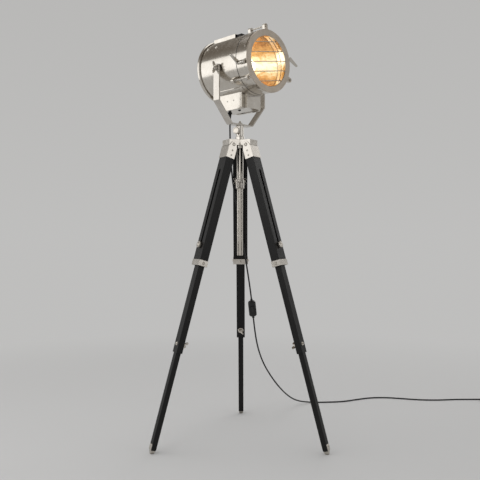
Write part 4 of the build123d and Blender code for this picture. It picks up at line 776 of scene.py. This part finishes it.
def on_floor(high, low):
    """Where the line from one point to another meets the floor."""
    return high.lerp(low, high.z / (high.z - low.z))


def add_heel(leg):
    inset = (LOWER_IN + HEEL_INSET, LOWER_OUT - HEEL_INSET, LOWER_HALF_WIDTH - HEEL_INSET)
    full = (LOWER_IN, LOWER_OUT, LOWER_HALF_WIDTH)
    rings = [leg_ring(leg, HEEL_END, *inset), leg_ring(leg, HEEL_END - HEEL_ROUNDING, *full),
             leg_ring(leg, LOWER_END, *full)]
    return dressed(f"{leg.name}_leg_heel", [ringed(rings)], f"{leg.name}_leg_lower", "black_wood")


def add_shoe(leg):
    rim = leg_ring(leg, HEEL_END - TIP_RIM, LOWER_IN + TIP_RIM_INSET, LOWER_OUT - TIP_RIM_INSET,
                   LOWER_HALF_WIDTH - TIP_RIM_INSET)
    low = leg_ring(leg, TIP_LOW, TIP_MIDDLE - TIP_HALF, TIP_MIDDLE + TIP_HALF, TIP_HALF)
    tip = ringed([[on_floor(*pair) for pair in zip(rim, low)], rim])
    near, far = LOWER_OUT - STRAP_SUNK, LOWER_OUT + STRAP
    strap = ringed([
        leg_ring(leg, HEEL_END, near - HEEL_INSET, far - HEEL_INSET, STRAP_HALF_WIDTH - HEEL_INSET),
        leg_ring(leg, HEEL_END - HEEL_ROUNDING, near, far, STRAP_HALF_WIDTH),
        leg_ring(leg, LOWER_END + STRAP_EDGE, near, far, STRAP_HALF_WIDTH),
        leg_ring(leg, LOWER_END, near, far - STRAP_EDGE, STRAP_HALF_WIDTH - STRAP_EDGE)])
    spot = leg.at(far, 0, -LOWER_END - STRAP_SCREW_DROP)
    screw = placed(slotted_head(*STRAP_SCREW), spot, leg.out, leg.across + leg.up)
    return dressed(f"{leg.name}_shoe_strap", [tip, strap, screw], f"{leg.name}_leg_lower", "nickel_fittings",
                   f"{leg.name}_leg_shoe")


# Rear cap: places along the head's axis, rearwards from the middle of the head
CAP_RADIUS = 121.0
CAP_INSIDE = 114.9
CAP_EDGE = 2.5
CAP_FRONT = 101.0
CAP_REAR = 113.0
CAP_RISE = 11.0
CAP_WALL = 2.0
CAP_STEPS = 18
CAP_SIDES = 128
RIM_ANGLES = (0.0, 22.5, 45.0, 67.5)


def add_rear_cap():
    inside = dome_profile(CAP_INSIDE, CAP_RISE, CAP_REAR - CAP_WALL, CAP_STEPS)
    outside = dome_profile(CAP_RADIUS - CAP_EDGE, CAP_RISE, CAP_REAR, CAP_STEPS)
    rim = [(CAP_INSIDE, CAP_FRONT), (CAP_RADIUS - CAP_EDGE, CAP_FRONT), (CAP_RADIUS, CAP_FRONT + CAP_EDGE)]
    for angle in RIM_ANGLES:
        turn = math.radians(angle)
        rim.append((CAP_RADIUS - CAP_EDGE * (1 - math.cos(turn)), CAP_REAR - CAP_EDGE * (1 - math.sin(turn))))
    profile = inside[::-1] + rim + outside
    part = placed(lathe(profile, CAP_SIDES), head_at(0, 0, 0), -FRONT, UP)
    return dressed("rear_cap_spun", [part], "head", "nickel_sheet", "rear_cap")


# A black band in the seam between drum and hood, painted shade for the seam's dark gap: its tongue is in the
# seam, and its lip lies on both shells
SEAM_BAND_PLACE = 97.0
SEAM_BAND_HALF_TONGUE = 0.4
SEAM_BAND_TONGUE_DEPTH = 1.1
SEAM_BAND_HALF_LIP = 1.4
SEAM_BAND_LIP = 0.4
SEAM_BAND_EDGE = 0.3


def add_seam_shade_band():
    half = [(SHELL_RADIUS - SEAM_BAND_TONGUE_DEPTH, SEAM_BAND_HALF_TONGUE), (SHELL_RADIUS, SEAM_BAND_HALF_TONGUE),
            (SHELL_RADIUS, SEAM_BAND_HALF_LIP), (SHELL_RADIUS + SEAM_BAND_LIP, SEAM_BAND_HALF_LIP - SEAM_BAND_EDGE)]
    profile = [(radius, -place) for radius, place in half] + half[::-1]
    ring = lathe(profile + profile[:1], CAP_SIDES)
    part = placed(ring, head_at(0, 0, SEAM_BAND_PLACE), FRONT, UP)
    return dressed("hood_seam_shade_band", [part], "head", "black_plastic")


# Bulb: places along the head's axis, forwards from the middle of the head
BULB_PROFILE = [(0, -3.7), (13.2, -3.7), (13.5, 0), (14.0, 5), (15.2, 10), (17.2, 14.5), (20.0, 19),
                (23.2, 24), (26.3, 29), (28.7, 34.5), (30.0, 40), (29.5, 46), (27.6, 52), (24.2, 58),
                (19.5, 63), (13.2, 67), (6.8, 69.3), (0, 70)]
BULB_THREAD = (13.2, 1.1, 3.6)
BULB_THREAD_ENDS = (-39.7, -3.8)


def add_bulb():
    profiles = (BULB_PROFILE, threaded(*BULB_THREAD, *BULB_THREAD_ENDS))
    parts = [placed(lathe(profile, NUT_SIDES), head_at(0, 0, 0), FRONT, UP) for profile in profiles]
    return dressed("bulb_envelope", parts, "head", "lamp_glass", "bulb")


# Strain relief and blanking plug: places downwards from the underside of the power box
BOX_UNDERSIDE = 1263.0
GLAND_PLACE = 57.0
GLAND_FLANGE = [(0, 0), (8.6, 0), (9.0, 0.5), (9.0, 2.5), (8.5, 3.0)]
GLAND_END = [(4.0, 22.9), (3.2, 23.0), (0, 23.0)]
GLAND_RIBS = 7
RIBS_START = 3.0
RIBS_LENGTH = 20.0
RIB_REACH = 6.5
RIBS_TAPER = 2.5
RIB_DEPTH = 0.9
RIB_PLACES = (0.1, 1.5)
HOLLOW_PLACES = (1.8, 2.6)
BLANK_PLACE = (-22.0, -20.0)
BLANK_DOME = (6.0, 5.0)


def add_gland():
    """The ribbed sleeve that holds the cord, and the domed plug of the unused hole beside it."""
    sleeve = list(GLAND_FLANGE)
    for rib in range(GLAND_RIBS):
        place = RIBS_START + RIBS_LENGTH * rib / GLAND_RIBS
        reach = RIB_REACH - RIBS_TAPER * rib / GLAND_RIBS
        sleeve += [(reach, place + step) for step in RIB_PLACES]
        sleeve += [(reach - RIB_DEPTH, place + step) for step in HOLLOW_PLACES]
    sleeve += GLAND_END
    blank = [(0, 0), *dome_profile(*BLANK_DOME, 0)]
    parts = [placed(lathe(sleeve), at(0, GLAND_PLACE, BOX_UNDERSIDE), -UP, RIGHT),
             placed(lathe(blank), at(*BLANK_PLACE, BOX_UNDERSIDE), -UP, RIGHT)]
    return dressed("strain_relief", parts, "head", "black_plastic", "cord_gland")


screw_heads = [add_head_screws(), add_hinge_bolts(), add_pan_bolt(), add_tie_rods()]
screw_heads += [add_leg_screws(leg) for leg in LEG_FRAMES]
knobs = [add_leg_knob(leg) for leg in LEG_FRAMES] + [add_pan_knob()]
wings = add_wings()
heels = {leg.name: add_heel(leg) for leg in LEG_FRAMES}
shoes = [add_shoe(leg) for leg in LEG_FRAMES]
rear_cap = add_rear_cap()
seam_shade_band = add_seam_shade_band()
bulb = add_bulb()
gland = add_gland()


# Materials
MIX_FIRST = 6          # numbers of a mix node's colour sockets, whose names other sockets share
MIX_SECOND = 7
MIX_RESULT = 2
NEW_STOP = 0.5
EDGE_SAMPLES = 4


class Tree:
    """Short names for building a node tree."""

    def __init__(self, tree):
        self.tree = tree

    def give(self, socket, value):
        """Gives an input a constant, or links it to an output."""
        if isinstance(value, bpy.types.NodeSocket):
            self.tree.links.new(value, socket)
        else:
            socket.default_value = value

    def node(self, kind, inputs=None, **settings):
        """A new node with its settings, and its inputs by name or number."""
        made = self.tree.nodes.new(kind)
        for name, value in settings.items():
            setattr(made, name, value)
        for name, value in (inputs or {}).items():
            self.give(made.inputs[name], value)
        return made

    def math(self, operation, *values):
        return self.node("ShaderNodeMath", dict(enumerate(values)), operation=operation).outputs["Value"]

    def ramp(self, source, stops):
        node = self.node("ShaderNodeValToRGB", {"Fac": source})
        elements = node.color_ramp.elements
        while len(elements) < len(stops):
            elements.new(NEW_STOP)
        for element, (place, colour) in zip(elements, stops):
            element.position = place
            element.color = (*colour, 1.0)
        return node.outputs["Color"]

    def blended(self, mask, first, second):
        """A colour that goes from first to second with the mask; either may be a socket or a colour."""
        inputs = {0: mask}
        for number, colour in ((MIX_FIRST, first), (MIX_SECOND, second)):
            inputs[number] = (*colour, 1.0) if isinstance(colour, tuple) else colour
        return self.node("ShaderNodeMix", inputs, data_type="RGBA").outputs[MIX_RESULT]


class Nodes(Tree):
    """The node tree of a new material."""

    def __init__(self, name):
        self.material = bpy.data.materials.new(name)
        self.material.use_nodes = True
        super().__init__(self.material.node_tree)
        self.shader = self.tree.nodes["Principled BSDF"]
        self.place = self.node("ShaderNodeTexCoord").outputs["Object"]

    def feed(self, name, value):
        """Gives an input of the material's shader a constant or an output."""
        self.give(self.shader.inputs[name], value)

    def mapping(self, source, rotation=(0, 0, 0), scale=(1, 1, 1)):
        inputs = {"Vector": source, "Rotation": rotation, "Scale": scale}
        return self.node("ShaderNodeMapping", inputs).outputs["Vector"]

    def noise(self, source, scale, detail=3.0, roughness=0.55, distortion=0.0):
        inputs = {"Vector": source, "Scale": scale, "Detail": detail, "Roughness": roughness,
                  "Distortion": distortion}
        return self.node("ShaderNodeTexNoise", inputs).outputs["Fac"]

    def spread(self, source, low, high, start=0.3, end=0.7):
        """A number that goes from low to high while its source goes from start to end."""
        inputs = {"Value": source, "From Min": start, "From Max": end, "To Min": low, "To Max": high}
        return self.node("ShaderNodeMapRange", inputs).outputs["Result"]

    def between(self, mask, first, second):
        """A number that goes from first to second with the mask."""
        share = self.math("MULTIPLY", self.math("SUBTRACT", second, first), mask)
        return self.math("ADD", first, share)

    def mixed(self, first, second, share):
        """A share of the first number added to the rest of the second."""
        return self.math("ADD", self.math("MULTIPLY", first, share), self.math("MULTIPLY", second, 1 - share))

    def dot(self, first, second):
        inputs = {0: first, 1: second}
        return self.node("ShaderNodeVectorMath", inputs, operation="DOT_PRODUCT").outputs["Value"]

    def along(self, way):
        """The distance of the surface along a direction of the model's own space."""
        return self.dot(self.place, way)

    def bump(self, height, strength, distance, normal=None):
        inputs = {"Height": height, "Strength": strength, "Distance": distance}
        if normal is not None:
            inputs["Normal"] = normal
        return self.node("ShaderNodeBump", inputs).outputs["Normal"]

    def soft_edges(self, radius):
        return self.node("ShaderNodeBevel", {"Radius": radius}, samples=EDGE_SAMPLES).outputs["Normal"]

    def edges(self, radius):
        """1 along the sharp edges of the shape and 0 away from them."""
        flat = self.node("ShaderNodeNewGeometry").outputs["Normal"]
        return self.spread(self.dot(self.soft_edges(radius), flat), 1.0, 0.0, start=0.86, end=0.99)

    def corners(self, reach):
        """1 in the open and 0 deep in a corner."""
        inputs = {"Distance": reach}
        return self.node("ShaderNodeAmbientOcclusion", inputs, samples=EDGE_SAMPLES).outputs["AO"]


# Painted shade: the colour that nickel parts darken to in their corners
CORNER_SHADE = (0.16, 0.145, 0.125)
SMUDGE = {"scale": 38.0, "detail": 4.0, "roughness": 0.6, "distortion": 0.4}


def plate_normal(n, wave, edge, grain):
    """Slow waves in the plate, soft edges and a fine grain."""
    waves = n.noise(n.place, scale=17.0, detail=1.0)
    normal = n.bump(waves, wave, distance=0.004, normal=n.soft_edges(edge))
    specks = n.noise(n.place, scale=2600.0, detail=2.0)
    return n.bump(specks, grain, distance=0.00025, normal=normal)


def metal(name, dark, light, rough, wave, edge, grain):
    """Nickel plate: smudges in the colour and gloss, and painted shade that darkens the corners."""
    n = Nodes(name)
    n.feed("Metallic", 1.0)
    smudge = n.noise(n.place, **SMUDGE)
    fine = n.noise(n.place, scale=210.0)
    unshaded_colour = n.ramp(smudge, [(0.3, dark), (0.7, light)])
    # Painted shade: the base colour darkens in the corners that ambient occlusion finds
    unshaded_share = n.spread(n.corners(reach=0.007), 0.0, 1.0, start=0.25, end=0.8)
    n.feed("Base Color", n.blended(unshaded_share, CORNER_SHADE, unshaded_colour))
    n.feed("Roughness", n.spread(n.mixed(smudge, fine, share=0.7), *rough))
    n.feed("Normal", plate_normal(n, wave, edge, grain))
    return n.material


def two_tone_and_painted_shade(name, way, line, rear, front, wave):
    """Nickel with one finish up to a line and another beyond it, which is painted shade on the vent cover; a
    finish is (dark, light, roughness).
    """
    n = Nodes(name)
    n.feed("Metallic", 1.0)
    mask = n.math("GREATER_THAN", n.along(way), line)
    smudge = n.noise(n.place, **SMUDGE)
    fine = n.noise(n.place, scale=420.0)
    colours = [n.ramp(smudge, [(0.3, finish[0]), (0.7, finish[1])]) for finish in (rear, front)]
    n.feed("Base Color", n.blended(mask, *colours))
    gloss = [n.spread(fine, *finish[2]) for finish in (rear, front)]
    n.feed("Roughness", n.between(mask, *gloss))
    n.feed("Normal", plate_normal(n, wave, edge=0.0009, grain=0.15))
    return n.material


WOOD_DARK = (0.0024, 0.0022, 0.0022)
WOOD_LIGHT = (0.0078, 0.0073, 0.0071)
WOOD_WORN = (0.034, 0.0292, 0.0252)


def wood(name, azimuth, slant):
    """Black stained wood with its grain along the leg and paler, rubbed edges."""
    n = Nodes(name)
    turned = n.mapping(n.place, rotation=(0, 0, -azimuth))
    upright = n.mapping(turned, rotation=(0, slant, 0))
    fibres = n.mapping(upright, scale=(1.0, 1.0, 0.035))
    grain = n.noise(fibres, scale=240.0, detail=5.0, roughness=0.62, distortion=0.6)
    pores = n.noise(n.mapping(upright, scale=(1.0, 1.0, 0.018)), scale=900.0, roughness=0.6)
    stain = n.ramp(grain, [(0.34, WOOD_DARK), (0.7, WOOD_LIGHT)])
    clouds = n.noise(n.place, scale=90.0, detail=4.0, roughness=0.65)
    patches = n.spread(clouds, 0.0, 0.55, start=0.45, end=0.72)
    rubbed = n.math("MULTIPLY", n.edges(radius=0.0011), patches)
    n.feed("Base Color", n.blended(rubbed, stain, WOOD_WORN))
    n.feed("Roughness", n.spread(grain, 0.34, 0.50))
    height = n.mixed(grain, pores, share=0.55)
    n.feed("Normal", n.bump(height, strength=0.30, distance=0.0006, normal=n.soft_edges(radius=0.0016)))
    n.feed("Specular IOR Level", 0.27)
    return n.material


LIGHTER_SHARE = 1.9
WORN_SHARE = 4.0


def plain_black(name, base, rough, scale, strength, edge):
    """Moulded black with a fine speckle and rubbed edges."""
    n = Nodes(name)
    speck = n.noise(n.place, scale, detail=4.0, roughness=0.6)
    lighter, worn = [tuple(channel * share for channel in base) for share in (LIGHTER_SHARE, WORN_SHARE)]
    colour = n.ramp(speck, [(0.3, base), (0.75, lighter)])
    n.feed("Base Color", n.blended(n.math("MULTIPLY", n.edges(edge), speck), colour, worn))
    n.feed("Roughness", n.spread(speck, *rough))
    n.feed("Normal", n.bump(speck, strength, distance=0.0004, normal=n.soft_edges(edge)))
    n.feed("Specular IOR Level", 0.4)
    return n.material


def plug_finish(name, way, line):
    """A moulded plug with bare metal pins beyond a line."""
    n = Nodes(name)
    mask = n.math("GREATER_THAN", n.along(way), line)
    speck = n.noise(n.place, scale=900.0, detail=4.0, roughness=0.6)
    body = n.ramp(speck, [(0.3, (0.008, 0.008, 0.0085)), (0.75, (0.015, 0.015, 0.016))])
    pins = n.ramp(speck, [(0.3, (0.55, 0.52, 0.47)), (0.75, (0.66, 0.63, 0.58))])
    n.feed("Base Color", n.blended(mask, body, pins))
    n.feed("Metallic", mask)
    n.feed("Roughness", n.between(mask, n.spread(speck, 0.30, 0.42), n.spread(speck, 0.16, 0.26)))
    n.feed("Normal", n.bump(speck, strength=0.15, distance=0.0004, normal=n.soft_edges(radius=0.0008)))
    return n.material


def clear_glass(name):
    """Clear glass with a little dust."""
    n = Nodes(name)
    n.feed("Base Color", (0.98, 0.975, 0.96, 1.0))
    n.feed("Transmission Weight", 1.0)
    n.feed("IOR", 1.45)
    dust = n.noise(n.place, scale=60.0)
    n.feed("Roughness", n.spread(dust, 0.0, 0.03))
    return n.material


REFLECTOR_RIM = 105.0
GLOW_LIFT = 14.0
GLOW_STOPS = ((0.02, (1.0, 0.94, 0.77)), (0.2, (1.0, 0.79, 0.44)), (0.42, (0.70, 0.36, 0.10)),
              (0.75, (0.27, 0.105, 0.018)))
NOISE_MIDDLE = 0.5
BROAD_SHARE = 0.75
PEEN_SHARE = 0.45


def lit_reflector(name):
    """A peened mirror bowl with the lamp's light painted on it as a glow: palest across the middle, amber
    above and below.
    """
    n = Nodes(name)
    n.feed("Metallic", 1.0)
    centre = (HEAD_HEIGHT + GLOW_LIFT) / REFLECTOR_RIM
    height = n.math("SUBTRACT", n.along((0, 0, 1 / (REFLECTOR_RIM * MM))), centre)
    peen = n.noise(n.place, scale=75.0, detail=2.0, roughness=0.5, distortion=1.2)
    broad = n.noise(n.mapping(n.place, scale=(1.0, 1.0, 2.6)), scale=16.0, roughness=0.6, distortion=1.5)
    away = n.math("ABSOLUTE", height)
    for cloud, share in ((broad, BROAD_SHARE), (peen, PEEN_SHARE)):
        away = n.math("ADD", away, n.math("MULTIPLY", n.math("SUBTRACT", cloud, NOISE_MIDDLE), share))
    n.feed("Base Color", (0.62, 0.40, 0.17, 1.0))
    # Painted light: the emission stands in for the lamp's light reflected in the bowl
    n.feed("Emission Color", n.ramp(away, GLOW_STOPS))
    n.feed("Emission Strength", 1.15)
    n.feed("Roughness", n.spread(peen, 0.1, 0.24))
    n.feed("Normal", n.bump(peen, strength=0.5, distance=0.002))
    return n.material


def lit_bulb(name):
    """Frosted glass that glows, a little unevenly."""
    n = Nodes(name)
    n.feed("Base Color", (1.0, 0.95, 0.85, 1.0))
    n.feed("Roughness", 0.35)
    haze = n.noise(n.place, scale=26.0, detail=2.0)
    n.feed("Emission Color", n.ramp(haze, [(0.35, (1.0, 0.86, 0.58)), (0.65, (1.0, 0.93, 0.76))]))
    n.feed("Emission Strength", 3.0)
    return n.material


NICKEL_DARK = (0.56, 0.522, 0.465)
NICKEL_LIGHT = (0.66, 0.622, 0.565)
SHEET_DARK = (0.60, 0.56, 0.50)
SHEET_LIGHT = (0.69, 0.652, 0.595)
CAST_DARK = (0.55, 0.515, 0.465)
CAST_LIGHT = (0.65, 0.615, 0.565)
polished = metal("nickel_polished", NICKEL_DARK, NICKEL_LIGHT, rough=(0.08, 0.17),
                 wave=0.04, edge=0.0009, grain=0.06)
sheet_metal = metal("nickel_sheet", SHEET_DARK, SHEET_LIGHT, rough=(0.14, 0.21),
                    wave=0.09, edge=0.0008, grain=0.05)
cast = metal("nickel_cast", CAST_DARK, CAST_LIGHT, rough=(0.16, 0.29), wave=0.04, edge=0.0012, grain=0.15)
tube_metal = metal("nickel_tube", NICKEL_DARK, NICKEL_LIGHT, rough=(0.15, 0.22),
                   wave=0.02, edge=0.0001, grain=0.03)
SHEET = (SHEET_DARK, SHEET_LIGHT, (0.06, 0.12))
SATIN = ((0.50, 0.44, 0.37), (0.58, 0.515, 0.44), (0.34, 0.46))
SHADOWED = ((0.022, 0.021, 0.02), (0.045, 0.043, 0.041), (0.32, 0.46))
BEZEL_FACE = 151.5
VENT_FRONT = 20.4
bezel_metal = two_tone_and_painted_shade("nickel_bezel", FRONT, BEZEL_FACE * MM - AXIS.y, SHEET, SATIN, wave=0.03)
# Painted shade: beyond its front line the vent cover is near black, for the dark open front of the vent
vent_metal_painted_shade = two_tone_and_painted_shade("nickel_vent_painted_shade", FRONT, VENT_FRONT * MM - AXIS.y, SHEET, SHADOWED, wave=0.05)
rubber = plain_black("cord_rubber", (0.006, 0.006, 0.0065), rough=(0.40, 0.54),
                     scale=420.0, strength=0.12, edge=0.0004)
plastic = plain_black("black_plastic", (0.007, 0.007, 0.0075), rough=(0.30, 0.42),
                      scale=900.0, strength=0.18, edge=0.0008)
rocker_plastic = plain_black("rocker_plastic", (0.011, 0.011, 0.0115), rough=(0.18, 0.28),
                             scale=900.0, strength=0.10, edge=0.0006)
ceramic = plain_black("holder_plastic", (0.02, 0.018, 0.016), rough=(0.35, 0.5),
                      scale=300.0, strength=0.1, edge=0.0006)
lens = clear_glass("lens_glass")
mirror_bowl = lit_reflector("lit_reflector")
lamp = lit_bulb("lit_bulb")
PLUG_SLEEVE = 14.0
PLUG_BODY = 34.0
PIN_MARGIN = 0.2
PIN_LINE = COIL_TAIL + PLUG_SLEEVE + PLUG_BODY + PIN_MARGIN
coil_heading, coil_start = coil_frame()[:2]
pin_foot = at(*(coil_start + coil_heading * PIN_LINE))
plug_black = plug_finish("plug_plastic", coil_heading, pin_foot.dot(coil_heading))


def paint(made, material):
    made.data.materials.clear()
    made.data.materials.append(material)


FINISHES = {
    sheet_metal: ("drum", "hood", "power_box", "box_covers"),
    bezel_metal: ("bezel",),
    vent_metal_painted_shade: ("vent_cover",),
    cast: ("hub", "collar", "stem", "yoke"),
    polished: ("trunnions", "clamp_lever_left", "clamp_lever_right", "grille"),
    tube_metal: ("sleeve", "column_tube"),
    lens: ("glass",),
    mirror_bowl: ("reflector",),
    ceramic: ("lamp_holder",),
    plastic: ("switch_base", "switch_cover"),
    rocker_plastic: ("switch_rocker",),
    plug_black: ("mains_plug",),
}
for material, names in FINISHES.items():
    for name in names:
        paint(NODES[name], material)
for leg in LEG_FRAMES:
    azimuth = math.atan2(-leg.across.x, leg.across.y)
    slant = math.acos(min(1.0, leg.up.z))
    grain = wood(f"black_wood_{leg.name}", azimuth, slant)
    for piece in ("upper", "middle", "lower"):
        paint(NODES[f"{leg.name}_leg_{piece}"], grain)
    paint(heels[leg.name], grain)
    paint(NODES[f"{leg.name}_leg_fittings"], cast)
for piece in screw_heads + knobs + wings + shoes:
    paint(piece, polished)
# The band in the seam, which is painted shade for the seam's gap, is black like the cords
for piece in cord_pieces + [lead, seam_shade_band]:
    paint(piece, rubber)
for piece in (tie, gland):
    paint(piece, plastic)
paint(rear_cap, sheet_metal)
paint(bulb, lamp)


# Floor, backdrop and light: lengths in metres
FLOOR_HALF = 40.0
FLOOR_COLOUR = (0.56, 0.556, 0.55)
BACKDROP_COLOUR = (0.52, 0.517, 0.51)
FADE_START = 0.8
FADE_END = 2.9
AMBIENT = 0.56
SKY_STOPS = ((0.0, BACKDROP_COLOUR), (0.33, (0.484, 0.48, 0.472)), (0.48, (0.29, 0.272, 0.25)),
             (0.66, (0.175, 0.153, 0.13)), (1.0, (0.135, 0.116, 0.097)))


def seen_directly(n):
    """1 for what the camera, a mirror or a glass shows, and 0 for the light that falls on a surface."""
    rays = n.node("ShaderNodeLightPath").outputs
    shown = n.math("MAXIMUM", rays["Is Camera Ray"], rays["Is Glossy Ray"])
    return n.math("MAXIMUM", shown, rays["Is Transmission Ray"])


def add_floor():
    corners = [(x * FLOOR_HALF, y * FLOOR_HALF, 0) for x, y in ((-1, -1), (1, -1), (1, 1), (-1, 1))]
    floor = mesh_object("floor", corners, [[0, 1, 2, 3]], smooth=False)
    n = Nodes("floor_paint")
    n.feed("Base Color", (*FLOOR_COLOUR, 1.0))
    n.feed("Roughness", 0.7)
    n.feed("Specular IOR Level", 0.2)
    distance = n.node("ShaderNodeVectorMath", {0: n.place}, operation="LENGTH").outputs["Value"]
    fade = n.spread(distance, 0.0, 1.0, FADE_START, FADE_END)
    fade.node.interpolation_type = "SMOOTHSTEP"
    backdrop = n.node("ShaderNodeEmission", {"Color": (*BACKDROP_COLOUR, 1.0)})
    share = n.math("MULTIPLY", fade, seen_directly(n))
    shaders = {1: n.shader.outputs["BSDF"], 2: backdrop.outputs["Emission"]}
    mix = n.node("ShaderNodeMixShader", {"Fac": share, **shaders})
    n.give(n.tree.nodes["Material Output"].inputs["Surface"], mix.outputs["Shader"])
    paint(floor, n.material)


def add_light(name, right, ahead, height, size, power, target_height):
    data = bpy.data.lights.new(name, "AREA")
    data.shape = "RECTANGLE"
    data.size, data.size_y = size
    data.energy = power
    light = new_object(name, data)
    light.location = Vector((AXIS.x, AXIS.y, height)) + RIGHT * right + VIEW * ahead
    aim = Vector((AXIS.x, AXIS.y, target_height)) - light.location
    light.rotation_euler = aim.to_track_quat("-Z", "Y").to_euler()


def add_world():
    """An even light on the surfaces, and for the eye and mirrors a backdrop under a darker ceiling."""
    world = bpy.data.worlds.new("studio")
    bpy.context.scene.world = world
    world.use_nodes = True
    n = Tree(world.node_tree)
    way = n.node("ShaderNodeTexCoord").outputs["Generated"]
    height = n.node("ShaderNodeSeparateXYZ", {"Vector": way}).outputs["Z"]
    colour = n.blended(seen_directly(n), (AMBIENT, AMBIENT, AMBIENT), n.ramp(height, SKY_STOPS))
    n.give(n.tree.nodes["Background"].inputs["Color"], colour)


# Each light's place to the right of the column and behind it, height, size, watts and the height it aims at
LIGHTS = (
    ("key", -2.5, -0.5, 1.75, (3.4, 1.9), 20.0, 1.3),
    ("front", -1.5, -2.4, 2.1, (1.6, 1.8), 13.0, 1.1),
    ("fill", 2.4, -1.4, 1.5, (1.2, 1.8), 6.0, 1.0),
    ("top", -0.3, 0.3, 3.3, (1.8, 1.8), 16.0, 1.0),
    ("back", 1.4, 2.2, 2.2, (2.2, 2.2), 13.0, 1.1),
)
add_floor()
add_world()
for light in LIGHTS:
    add_light(*light)
bpy.context.scene.view_settings.view_transform = "Standard"

bpy.context.view_layer.update()
